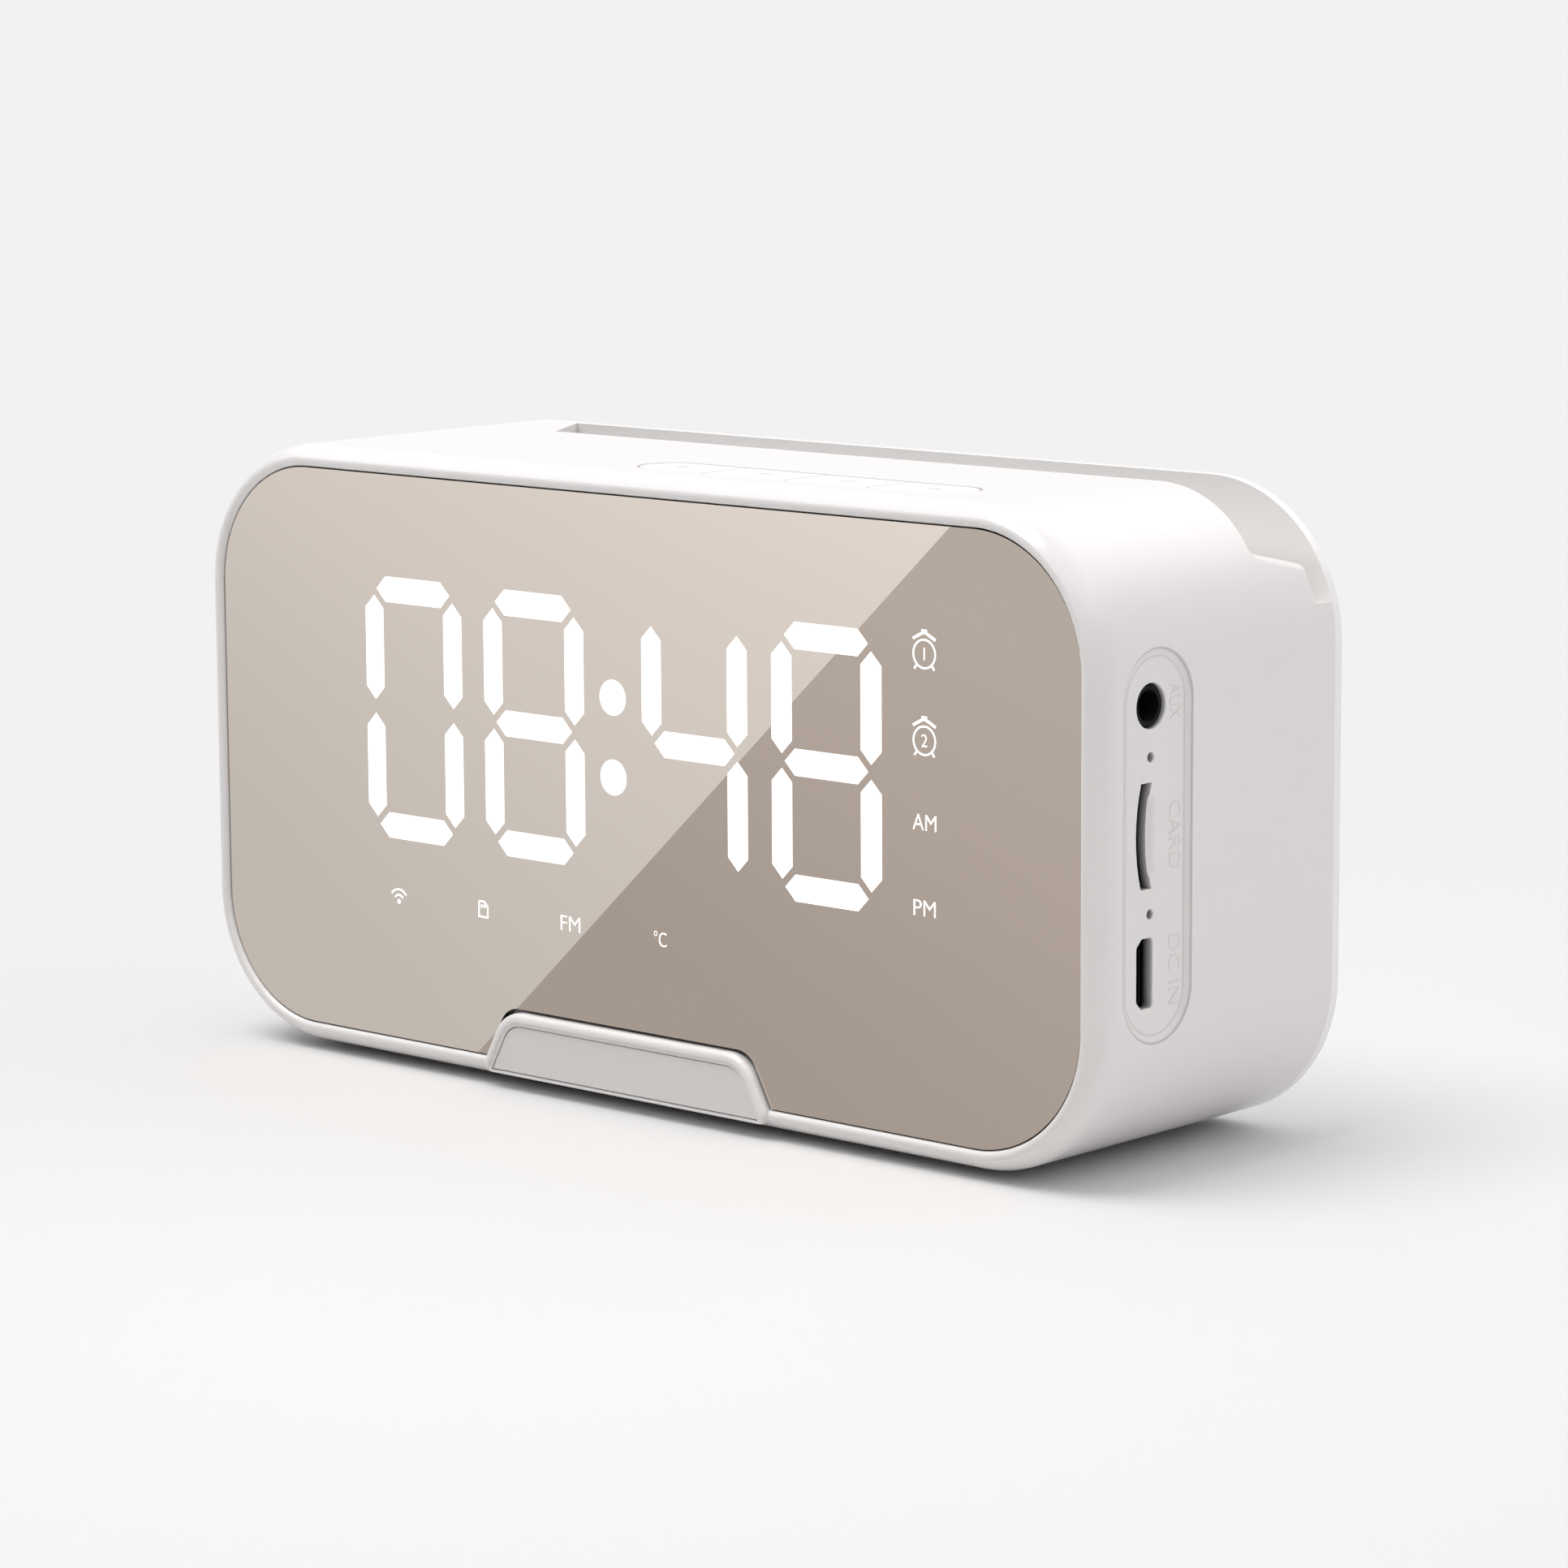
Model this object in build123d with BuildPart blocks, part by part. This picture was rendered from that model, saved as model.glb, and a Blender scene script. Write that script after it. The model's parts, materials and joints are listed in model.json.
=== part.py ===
from build123d import *

import os
from math import cos, radians, sqrt, tan

# Mirror alarm clock with a built-in stereo speaker, a phone slot and four top keys
os.makedirs("parts", exist_ok=True)

# Body, in millimetres: X to the right seen from the front, Z up from the table, front towards -Y
body_width = 145.0
body_height = 75.5
body_depth = 45.0
corner_radius = 18.1
front_edge_radius = 4.0
rear_edge_radius = 0.25
wall = 2.0
cover_thickness = 1.4

# Fits shared by all pieces
fit_gap = 0.15
running_gap = 0.25
overrun = 3.0

# Mirror lens, the rim round it and the seat that it is taped to
rim_side_width = 2.85
rim_top_width = 2.6
rim_edge_radius = 0.7
lens_setback = 1.2
lens_thickness = 1.5
lens_corner_inset = 2.6
lens_notch_radius = 3.3
tape_thickness = 0.2
tape_width = 5.0
tape_inset = 0.6
seat_thickness = 1.6

# Tab with the bare inlay plate at the foot of the lens
tab_height = 8.75
tab_top_width = 39.6
tab_side_angle = 28.0
tab_corner_radius = 4.7
tab_foot_radius = 1.2
tab_lift = 0.8
tab_gap = 0.35
tab_edge_radius = 0.8
ridge_inset = 1.1
ridge_depth = 0.3
ridge_edge_radius = 0.2
inlay_inset = 1.55
inlay_lift = 1.25
inlay_thickness = 0.5
inlay_setback = 0.15

# Phone slot along the top rear edge, closed at the left and open at the right
slot_lip_setback = 11.2
slot_depth = 7.1
slot_lean = 13.0
slot_end_setback = 29.8
slot_end_slant = 5.7
slot_wall = 1.6
slot_corner_radius = 0.6
shelf_edge_radius = 1.4
shelf_end_radius = 1.5
groove_width = 2.2
groove_depth = 13.5

# Key strip in the top, split into four keys
key_count = 4
key_strip_width = 51.0
key_strip_depth = 8.4
key_strip_end_setback = 26.5
key_strip_setback = 11.0
key_gap = 0.2
key_travel = 0.5
key_flange_width = 0.9
key_flange_thickness = 1.0
key_stem_radius = 1.6
key_stem_length = 0.6
key_edge_radius = 0.25

# Switch board under the keys
switch_width = 4.5
switch_height = 1.6
plunger_radius = 1.2
plunger_height = 0.5
key_board_thickness = 1.0
key_board_margin = 7.0
key_board_post_offset = 3.6
key_board_post_radius = 2.2

# Seven-segment display: four digits in two pairs, a colon and small indicator windows
display_left_setback = 28.8
display_rise = 6.25
digit_height = 32.45
digit_gap = 3.8
digit_pair_gap = 9.5
segment_width = 3.15
bar_tip_gap = 0.45
post_tip_gap = 0.85
colon_radius = 2.15
colon_pitch = 9.55
indicator_size = 4.4
indicator_count = 4
indicator_side_setback = 25.55
indicator_column_gap = 6.35
indicator_pitch = 9.8
mode_row_inset = 5.05
mode_row_drop = 23.3
mode_pitch_share = 0.72
reflector_margin = 1.0
diffuser_thickness = 2.0
diffuser_gap = 0.05
led_length = 1.6
led_width = 0.8
led_height = 0.6

# Main board behind the display, with the side sockets on its right-hand edge
board_standoff = 6.3
board_thickness = 1.2
board_margin = 7.5
board_foot_drop = 24.5
board_edge_gap = 2.0
board_post_offset = 4.0
board_post_radius = 2.6
board_corner_radius = 8.0

# Stadium recess and the sockets in the right-hand side, heights counted from mid height
port_recess_depth = 0.5
port_recess_length = 45.0
port_recess_width = 12.1
port_recess_rise = 0.3
port_recess_setback = 0.25
port_recess_slope = 60.0
hole_edge_radius = 0.2
jack_rise = 15.9
jack_axis_height = 0.45
jack_length = 12.0
jack_width = 6.0
jack_height = 5.0
jack_nose_radius = 2.3
jack_nose_length = 1.2
jack_bore_radius = 1.8
jack_bore_depth = 11.0
microphone_rise = 10.2
microphone_radius = 1.8
microphone_length = 1.2
pin_hole_radius = 0.55
card_rise = 1.45
card_slot_length = 11.9
card_slot_width = 1.9
card_slot_bow = 0.9
card_axis_height = 1.25
card_scoop_radius = 2.0
card_scoop_depth = 0.25
card_scoop_reach = 0.5
card_scoop_run = 7.4
card_socket_length = 13.0
card_socket_width = 13.2
card_socket_height = 1.9
card_mouth_length = 11.4
card_mouth_width = 1.0
card_mouth_depth = 11.5
charge_led_drop = 7.4
usb_drop = 14.0
usb_axis_height = 1.4
usb_width = 7.6
usb_height = 2.5
usb_hole_gap = 0.15
usb_length = 5.2
usb_corner = 0.9
usb_bend_radius = 0.45
usb_shell = 0.3
usb_back_wall = 0.8
usb_tongue_width = 3.9
usb_tongue_thickness = 0.6

# Battery and radio module on the back of the main board
battery_motor_gap = 1.5
battery_height = 34.0
battery_thickness = 6.0
battery_edge_radius = 2.0
battery_pad_thickness = 0.5
battery_pad_inset = 3.0
radio_width = 16.0
radio_height = 20.0
radio_thickness = 1.0
radio_gap = 2.0
radio_can_inset = 2.0
radio_can_height = 1.4

# Two loudspeakers on the rear cover, radii and depths counted from the cover's inner face
speaker_side_setback = 35.5
speaker_drop = 3.75
speaker_radius = 20.5
speaker_seat_height = 1.5
gasket_thickness = 1.0
gasket_width = 2.6
flange_thickness = 1.2
flange_width = 3.6
basket_depth = 9.5
basket_wall = 0.9
basket_foot_radius = 14.0
basket_window_share = 0.55
basket_window_count = 4
basket_window_angle = 50.0
basket_bore_radius = 8.2
motor_height = 7.0
motor_radius = 13.5
motor_edge_radius = 0.8
motor_gap_inner_radius = 6.2
motor_gap_outer_radius = 8.0
motor_gap_depth = 5.0
coil_inner_radius = 6.8
coil_outer_radius = 7.4
coil_depth_share = 0.55
cone_radius = 14.3
cone_depth = 4.2
cone_thickness = 0.45
dust_cap_rise = 2.2
dust_cap_share = 0.75
surround_thickness = 0.35
surround_land = 0.6
surround_gap = 0.05
speaker_post_radius = 2.0
speaker_post_angle = 45.0
speaker_screw_overlap = 1.2

# Grille of round holes in front of each loudspeaker
grille_rings = 3
grille_pitch = 4.9
grille_hole_radius = 1.4
grille_dish_depth = 0.4
grille_dish_margin = 2.2
first_ring_holes = 6

# Lip and screws of the rear cover
cover_lip_depth = 2.0
cover_lip_thickness = 1.2
cover_post_radius = 3.2
cover_post_length = 12.0
cover_post_inset = 3.4
cover_post_rise = 17.5

# Self-tapping screws
screw_radius = 1.1
screw_length = 6.0
screw_head_radius = 2.1
screw_head_height = 0.9
small_screw_radius = 0.8
small_screw_length = 4.0
small_screw_head_radius = 1.35
small_screw_head_height = 0.9
screw_hole_gap = 0.2
screw_thread_gap = 0.05

# Rubber feet
foot_height = 1.0
foot_radius = 4.5
foot_recess = 0.6
foot_edge_radius = 0.35
foot_side_setback = 26.5
foot_setback = 13.0

# Planes and edges that the pieces share
front_y = -body_depth / 2
rear_y = body_depth / 2
seam_y = rear_y - cover_thickness
side_x = body_width / 2
inner_side_x = side_x - wall
body_base = foot_height
body_top = body_base + body_height
body_middle = (body_base + body_top) / 2
inner_top = body_top - wall
lens_face_y = front_y + lens_setback
lens_back_y = lens_face_y + lens_thickness
seat_y = lens_back_y + tape_thickness
inner_front_y = seat_y + seat_thickness
board_front_y = inner_front_y + board_standoff
board_rear_y = board_front_y + board_thickness


def upright(y, z=body_middle):
    """Plane across the body at depth y: local x is X, local y is Z, normal towards the front."""
    return Plane(origin=(0, y, z), x_dir=(1, 0, 0), z_dir=(0, -1, 0))


def sideways(x):
    """Plane along the body's depth: local x is Y, local y is Z, normal towards the right."""
    return Plane(origin=(x, 0, 0), x_dir=(0, 1, 0), z_dir=(1, 0, 0))


def level(z):
    """Level plane at height z: local x is X, local y is Y, normal upwards."""
    return Plane.XY.offset(z)


def save(piece, name):
    """Label a finished piece and write it to its own file."""
    piece.part.label = name
    export_step(piece.part, f"parts/{name}.step")


# Outlines that several pieces share
recess_width = body_width - 2 * rim_side_width
recess_height = body_height - 2 * rim_top_width
recess_radius = corner_radius - lens_corner_inset


def draw_tab(inset, foot, upper_radius):
    """Trapezoid set in from the tab's top and slanted sides, with its lower edge at height foot."""
    side_lean = tan(radians(tab_side_angle))
    side_inset = inset / cos(radians(tab_side_angle))
    top = tab_height - inset
    half_top = tab_top_width / 2 + inset * side_lean - side_inset
    half_foot = half_top + (top - foot) * side_lean
    with BuildSketch(mode=Mode.PRIVATE) as tab:
        Polygon((-half_foot, foot), (half_foot, foot), (half_top, top), (-half_top, top), align=None)
        fillet(tab.vertices().group_by(Axis.Y)[-1], upper_radius)
    return tab.sketch


# Phone slot, in the plane of its cross section: local x is Y, local y is Z
lean = tan(radians(slot_lean))
slot_left = side_x - slot_end_setback
slot_lip_y = rear_y - slot_lip_setback
groove_y = seam_y - groove_width
groove_floor = body_top - groove_depth
slot_mouth = (slot_lip_y + overrun * lean, body_top + overrun)
shelf_start = (slot_lip_y - slot_depth * lean, body_top - slot_depth)
shelf_end = (groove_y, shelf_start[1] - (groove_y - shelf_start[0]) * lean)

with BuildSketch(sideways(0)) as slot_section:
    with BuildLine():
        Polyline(
            slot_mouth,
            shelf_start,
            shelf_end,
            (groove_y, groove_floor),
            (seam_y + overrun, groove_floor),
            (seam_y + overrun, body_top + overrun),
            close=True,
        )
    make_face()
    fillet(slot_section.vertices().sort_by_distance(shelf_end)[0], shelf_edge_radius)

with BuildSketch(sideways(0)) as slot_wall_section:
    add(slot_section.sketch_local)
    offset(amount=slot_wall)

with BuildPart() as phone_slot:
    extrude(slot_section.sketch, amount=side_x + overrun)
    extrude(slot_section.sketch, amount=-(slot_left + slot_end_slant))
    with BuildSketch(level(groove_floor - overrun)):
        slant_run = slot_end_slant / (seam_y - slot_lip_y)
        front_reach = slot_lip_y - slot_lip_setback
        rear_reach = seam_y + overrun
        Polygon(
            (-slot_left + (slot_lip_y - front_reach) * slant_run, front_reach),
            (side_x + overrun, front_reach),
            (side_x + overrun, rear_reach),
            (-slot_left - (rear_reach - slot_lip_y) * slant_run, rear_reach),
            align=None,
        )
    extrude(amount=groove_depth + 2 * overrun, mode=Mode.INTERSECT)

with BuildPart() as phone_slot_walls:
    extrude(slot_wall_section.sketch, amount=side_x + overrun)
    extrude(slot_wall_section.sketch, amount=-(slot_left + slot_end_slant + slot_wall))

# Hollow inside of the housing, less the walls of the phone slot
with BuildPart() as cavity:
    with BuildSketch(upright(seam_y)):
        RectangleRounded(body_width - 2 * wall, body_height - 2 * wall, corner_radius - wall)
    extrude(amount=seam_y - inner_front_y)
    add(phone_slot_walls.part, mode=Mode.SUBTRACT)

# Tab at the foot of the lens, with a rounded bead along its edge
with BuildPart() as tab_block:
    with BuildSketch(upright(seat_y, body_base)):
        add(draw_tab(0, tab_lift, tab_corner_radius))
    extrude(amount=seat_y - front_y)
    fillet(tab_block.edges().filter_by(Axis.Y).group_by(Axis.Z)[0], tab_foot_radius)
    fillet(tab_block.faces().sort_by(Axis.Y)[0].edges(), tab_edge_radius)

# Places that the housing shares with the pieces fixed to it
key_strip_y = front_y + key_strip_setback
key_strip_x = side_x - key_strip_end_setback - key_strip_width / 2
key_strip_left = key_strip_x - key_strip_width / 2
key_pitch = key_strip_width / key_count
key_flange_top = inner_top - running_gap
key_stem_foot = key_flange_top - key_flange_thickness - key_stem_length
switch_top = key_stem_foot - key_travel - running_gap
key_board_top = switch_top - plunger_height - switch_height
key_board_posts = [
    (key_strip_x - key_strip_width / 2 - key_board_post_offset, key_strip_y),
    (key_strip_x + key_strip_width / 2 + key_board_post_offset, key_strip_y),
]
display_z = body_middle + display_rise
display_left = -side_x + display_left_setback
indicator_x = side_x - indicator_side_setback
digits_width = indicator_x - indicator_column_gap - display_left
digit_width = (digits_width - 2 * digit_gap - digit_pair_gap) / 4
digit_pitch = digit_width + digit_gap
digit_pair_pitch = 2 * digit_width + digit_gap + digit_pair_gap
display_x = display_left + digits_width / 2
mode_pitch = digit_pitch * mode_pitch_share
mode_row_x = display_left + mode_row_inset + mode_pitch * (indicator_count - 1) / 2
mode_row_z = display_z - mode_row_drop
reflector_left = display_left - reflector_margin
reflector_right = indicator_x + indicator_size / 2 + reflector_margin
reflector_foot = mode_row_z - indicator_size / 2 - reflector_margin
reflector_top = display_z + digit_height / 2 + reflector_margin
reflector_width = reflector_right - reflector_left
reflector_height = reflector_top - reflector_foot
reflector_x = (reflector_left + reflector_right) / 2
reflector_z = (reflector_foot + reflector_top) / 2
board_left = reflector_left - board_margin
board_right = inner_side_x - board_edge_gap
board_foot = body_middle - board_foot_drop
board_top = key_board_top - key_board_thickness - small_screw_head_height - running_gap
board_posts = [
    (reflector_left - board_post_offset, board_foot + board_post_offset),
    (reflector_right + board_post_offset, board_foot + board_post_offset),
    (reflector_left - board_post_offset, board_top - board_post_offset),
    (reflector_right + board_post_offset, board_top - board_post_offset),
]
jack_y = board_front_y - jack_axis_height
jack_z = body_middle + jack_rise
microphone_z = body_middle + microphone_rise
card_y = board_front_y - card_axis_height
card_z = body_middle + card_rise
charge_led_z = body_middle - charge_led_drop
usb_y = board_front_y - usb_axis_height
usb_z = body_middle - usb_drop
cover_post_x = inner_side_x - cover_post_inset
cover_posts = [
    (side * cover_post_x, body_middle + half * cover_post_rise)
    for side in (-1, 1)
    for half in (-1, 1)
]
foot_x = side_x - foot_side_setback
foot_places = {
    f"foot_{depth_name}_{side_name}": (side * foot_x, depth * (rear_y - foot_setback))
    for depth_name, depth in (("front", -1), ("rear", 1))
    for side_name, side in (("left", -1), ("right", 1))
}


def draw_usb(grow):
    """Outline of the power inlet, seen from the right, with its two front corners cut off."""
    with BuildSketch(mode=Mode.PRIVATE) as inlet:
        with Locations((usb_y, usb_z)):
            Rectangle(usb_height + 2 * grow, usb_width + 2 * grow)
        chamfer(inlet.vertices().group_by(Axis.X)[0], usb_corner)
        fillet(inlet.vertices(), usb_bend_radius)
    return inlet.sketch


# Main housing: one moulded tube with the rim, lens seat, tab, phone slot and side recess
with BuildPart() as main_housing:
    with BuildSketch(upright(seam_y)):
        RectangleRounded(body_width, body_height, corner_radius)
    extrude(amount=seam_y - front_y)
    fillet(main_housing.faces().sort_by(Axis.Y)[0].edges(), front_edge_radius)
    add(cavity.part, mode=Mode.SUBTRACT)
    add(phone_slot.part, mode=Mode.SUBTRACT)

    # Soft open end of the slot's shelf, then the inner corner along the lip
    shelf_middle = (side_x, (shelf_start[0] + shelf_end[0]) / 2, (shelf_start[1] + shelf_end[1]) / 2)
    fillet(main_housing.edges().sort_by_distance(shelf_middle)[0], shelf_end_radius)
    slot_corners = main_housing.edges().filter_by(Axis.X)
    fillet(slot_corners.sort_by_distance((0, *shelf_start))[0], slot_corner_radius)

    # Recess for the lens, with a rounded mouth
    with BuildSketch(upright(seat_y)):
        RectangleRounded(recess_width, recess_height, recess_radius)
    extrude(amount=seat_y - front_y + overrun, mode=Mode.SUBTRACT)
    rim_mouth = main_housing.edges(Select.LAST).filter_by(
        lambda edge: edge.bounding_box().max.Y < lens_face_y
    )
    fillet(rim_mouth, rim_edge_radius)

    # Window for the display in the lens seat
    with BuildSketch(upright(seat_y, 0)):
        with Locations((reflector_x, reflector_z)):
            Rectangle(reflector_width + 2 * fit_gap, reflector_height + 2 * fit_gap)
    extrude(amount=-seat_thickness, mode=Mode.SUBTRACT)

    # Tab, with a ridge that is open at the foot and the recess of the inlay plate
    add(tab_block.part)
    with BuildSketch(upright(front_y, body_base)):
        add(draw_tab(ridge_inset, 0, tab_corner_radius - ridge_inset))
    extrude(amount=-ridge_depth, mode=Mode.SUBTRACT)
    ridge_crest = main_housing.edges(Select.LAST).filter_by(
        lambda edge: edge.bounding_box().max.Y < front_y + ridge_depth / 2
    )
    fillet(ridge_crest, ridge_edge_radius)
    with BuildSketch(upright(front_y, body_base)):
        add(draw_tab(inlay_inset, inlay_lift, tab_corner_radius - inlay_inset))
    extrude(amount=-(ridge_depth + inlay_setback + inlay_thickness), mode=Mode.SUBTRACT)

    # Opening for the keys
    with BuildSketch(level(inner_top)):
        with Locations((key_strip_x, key_strip_y)):
            SlotOverall(key_strip_width, key_strip_depth)
    extrude(amount=wall, mode=Mode.SUBTRACT)

    # Posts that carry the switch board, the main board and the rear cover
    with BuildSketch(level(key_board_top)):
        with Locations(*key_board_posts):
            Circle(key_board_post_radius)
            Circle(small_screw_radius, mode=Mode.SUBTRACT)
    extrude(amount=inner_top - key_board_top)
    with BuildSketch(upright(inner_front_y, 0)):
        with Locations(*board_posts):
            Circle(board_post_radius)
            Circle(small_screw_radius, mode=Mode.SUBTRACT)
    extrude(amount=-board_standoff)
    with BuildSketch(upright(seam_y, 0)):
        with Locations(*cover_posts):
            Circle(cover_post_radius)
        for post_x, post_z in cover_posts:
            toward_wall = 1 if post_x > 0 else -1
            with Locations((post_x + toward_wall * cover_post_inset / 2, post_z)):
                Rectangle(cover_post_inset, cover_post_radius)
    extrude(amount=cover_post_length)
    with BuildSketch(upright(seam_y, 0)):
        with Locations(*cover_posts):
            Circle(screw_radius)
    extrude(amount=screw_length, mode=Mode.SUBTRACT)

    # Round recesses for the feet
    with BuildSketch(level(body_base)):
        with Locations(*foot_places.values()):
            Circle(foot_radius + fit_gap)
    extrude(amount=foot_recess, mode=Mode.SUBTRACT)

    # Shallow stadium recess on the right-hand side, with sloped edges
    with BuildSketch(sideways(side_x)):
        with Locations((board_front_y + port_recess_setback, body_middle + port_recess_rise)):
            SlotOverall(port_recess_length, port_recess_width, rotation=90)
    extrude(amount=-port_recess_depth, taper=port_recess_slope, mode=Mode.SUBTRACT)

    # Holes for the sockets, the microphone and the charge light
    with BuildSketch(sideways(side_x)):
        with Locations((jack_y, jack_z)):
            Circle(jack_nose_radius + running_gap)
        with Locations((jack_y, microphone_z), (jack_y, charge_led_z)):
            Circle(pin_hole_radius)
        add(draw_usb(usb_hole_gap))
    extrude(amount=-(wall + overrun / 2), mode=Mode.SUBTRACT)
    recess_floor_x = side_x - port_recess_depth
    hole_mouths = main_housing.edges(Select.LAST).filter_by(
        lambda edge: edge.bounding_box().min.X > recess_floor_x - fit_gap
    )
    fillet(hole_mouths, hole_edge_radius)

    # Bowed slot for the memory card, with a rounded finger scoop behind it
    with BuildSketch(sideways(side_x)):
        with BuildLine():
            slot_top = card_z + card_slot_length / 2
            slot_foot = card_z - card_slot_length / 2
            slot_front = card_y - card_slot_width / 2
            slot_back = card_y + card_slot_width / 2
            front_bow = (slot_front - card_slot_bow, card_z)
            back_bow = (slot_back - card_slot_bow, card_z)
            ThreePointArc((slot_front, slot_foot), front_bow, (slot_front, slot_top))
            Line((slot_front, slot_top), (slot_back, slot_top))
            ThreePointArc((slot_back, slot_top), back_bow, (slot_back, slot_foot))
            Line((slot_back, slot_foot), (slot_front, slot_foot))
        make_face()
    extrude(amount=-(wall + overrun / 2), mode=Mode.SUBTRACT)

    scoop_rise = card_scoop_radius - card_scoop_depth
    scoop_half_width = sqrt(card_scoop_radius**2 - scoop_rise**2)
    scoop_x = recess_floor_x + scoop_rise
    scoop_y = slot_back + card_scoop_reach - scoop_half_width
    with Locations((scoop_x, scoop_y, card_z)):
        Cylinder(card_scoop_radius, card_scoop_run, mode=Mode.SUBTRACT)
    for half in (-1, 1):
        with Locations((scoop_x, scoop_y, card_z + half * card_scoop_run / 2)):
            Sphere(card_scoop_radius, mode=Mode.SUBTRACT)

save(main_housing, "main_housing")

# Mirror lens, with a cut-out that clears the tab
with BuildPart() as mirror_lens:
    with BuildSketch(upright(lens_back_y)):
        lens_radius = recess_radius - fit_gap
        RectangleRounded(recess_width - 2 * fit_gap, recess_height - 2 * fit_gap, lens_radius)
    extrude(amount=lens_thickness)
    with BuildSketch(upright(lens_back_y, body_base)):
        add(draw_tab(-tab_gap, -overrun, lens_notch_radius))
    extrude(amount=lens_thickness, mode=Mode.SUBTRACT)

save(mirror_lens, "mirror_lens")

# Adhesive tape between the lens and its seat, open where the tab stands
with BuildPart() as lens_tape:
    tape_outer_width = recess_width - 2 * tape_inset
    tape_outer_height = recess_height - 2 * tape_inset
    tape_outer_radius = recess_radius - tape_inset
    with BuildSketch(upright(seat_y)):
        RectangleRounded(tape_outer_width, tape_outer_height, tape_outer_radius)
        RectangleRounded(
            tape_outer_width - 2 * tape_width,
            tape_outer_height - 2 * tape_width,
            tape_outer_radius - tape_width,
            mode=Mode.SUBTRACT,
        )
    extrude(amount=tape_thickness)
    with BuildSketch(upright(seat_y, body_base)):
        add(draw_tab(-tab_gap - tape_inset, -overrun, lens_notch_radius))
    extrude(amount=tape_thickness, mode=Mode.SUBTRACT)

save(lens_tape, "lens_tape")

# Bare inlay plate in the tab
with BuildPart() as inlay_plate:
    with BuildSketch(upright(front_y + ridge_depth + inlay_setback + inlay_thickness, body_base)):
        plate_radius = tab_corner_radius - inlay_inset - fit_gap
        add(draw_tab(inlay_inset + fit_gap, inlay_lift + fit_gap, plate_radius))
    extrude(amount=inlay_thickness)

save(inlay_plate, "inlay_plate")

# Four keys cut from one stadium strip, each with a flange under the top wall and a stem
key_names = ["key_mode", "key_previous", "key_play", "key_next"]
for number, key_name in enumerate(key_names):
    key_x = key_strip_left + (number + 1 / 2) * key_pitch
    key_foot = key_flange_top - key_flange_thickness
    with BuildPart() as key:
        with BuildSketch(level(key_flange_top)):
            with Locations((key_strip_x, key_strip_y)):
                SlotOverall(key_strip_width - 2 * running_gap, key_strip_depth - 2 * running_gap)
        extrude(amount=body_top - key_flange_top)
        fillet(key.faces().sort_by(Axis.Z)[-1].edges(), key_edge_radius)
        with BuildSketch(level(key_foot)):
            with Locations((key_strip_x, key_strip_y)):
                SlotOverall(
                    key_strip_width + 2 * key_flange_width,
                    key_strip_depth + 2 * key_flange_width,
                )
        extrude(amount=key_flange_thickness)
        with BuildSketch(level(key_foot)):
            cell_left = key_x - key_pitch / 2 + key_gap / 2
            cell_right = key_x + key_pitch / 2 - key_gap / 2
            if number == 0:
                cell_left -= key_flange_width + overrun
            if number == key_count - 1:
                cell_right += key_flange_width + overrun
            with Locations(((cell_left + cell_right) / 2, key_strip_y)):
                Rectangle(cell_right - cell_left, key_strip_depth + 2 * key_flange_width)
        extrude(amount=body_top - key_foot, mode=Mode.INTERSECT)
        with BuildSketch(level(key_stem_foot)):
            with Locations((key_x, key_strip_y)):
                Circle(key_stem_radius)
        extrude(amount=key_stem_length)
    save(key, key_name)

# Switch board under the keys and its four low switches
with BuildPart() as key_board:
    with BuildSketch(level(key_board_top - key_board_thickness)):
        with Locations((key_strip_x, key_strip_y)):
            Rectangle(key_strip_width + 2 * key_board_margin, key_strip_depth)
        with Locations(*key_board_posts):
            Circle(small_screw_radius + screw_hole_gap, mode=Mode.SUBTRACT)
    extrude(amount=key_board_thickness)
    fillet(key_board.edges().filter_by(Axis.Z).group_by(SortBy.LENGTH)[0], key_board_thickness)

save(key_board, "key_board")

with BuildPart() as tact_switches:
    with BuildSketch(level(key_board_top)):
        with Locations((key_strip_x, key_strip_y)):
            with GridLocations(key_pitch, 0, key_count, 1):
                Rectangle(switch_width, switch_width)
    extrude(amount=switch_height)
    with BuildSketch(level(key_board_top + switch_height)):
        with Locations((key_strip_x, key_strip_y)):
            with GridLocations(key_pitch, 0, key_count, 1):
                Circle(plunger_radius)
    extrude(amount=plunger_height)

save(tact_switches, "tact_switches")


def draw_windows(shrink):
    """Windows of the display: four digits of seven segments, a colon and the indicators."""
    bar_length = digit_width - segment_width - 2 * bar_tip_gap
    post_length = (digit_height - segment_width) / 2 - 2 * post_tip_gap
    post_x = (digit_width - segment_width) / 2
    bar_z = (digit_height - segment_width) / 2
    with BuildSketch(mode=Mode.PRIVATE) as windows:
        with Locations((display_x, display_z)):
            with GridLocations(digit_pair_pitch, 0, 2, 1):
                with GridLocations(digit_pitch, 0, 2, 1):
                    with GridLocations(0, bar_z, 1, 3):
                        Polygon(*segment_points(bar_length, shrink))
                    with GridLocations(2 * post_x, bar_z, 2, 2):
                        Polygon(*segment_points(post_length, shrink), rotation=90)
            with GridLocations(0, colon_pitch, 1, 2):
                Circle(colon_radius - shrink)
        with Locations((indicator_x, display_z)):
            with GridLocations(0, indicator_pitch, 1, indicator_count):
                Rectangle(indicator_size - 2 * shrink, indicator_size - 2 * shrink)
        with Locations((mode_row_x, mode_row_z)):
            with GridLocations(mode_pitch, 0, indicator_count, 1):
                Rectangle(indicator_size - 2 * shrink, indicator_size - 2 * shrink)
    return windows.sketch


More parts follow.
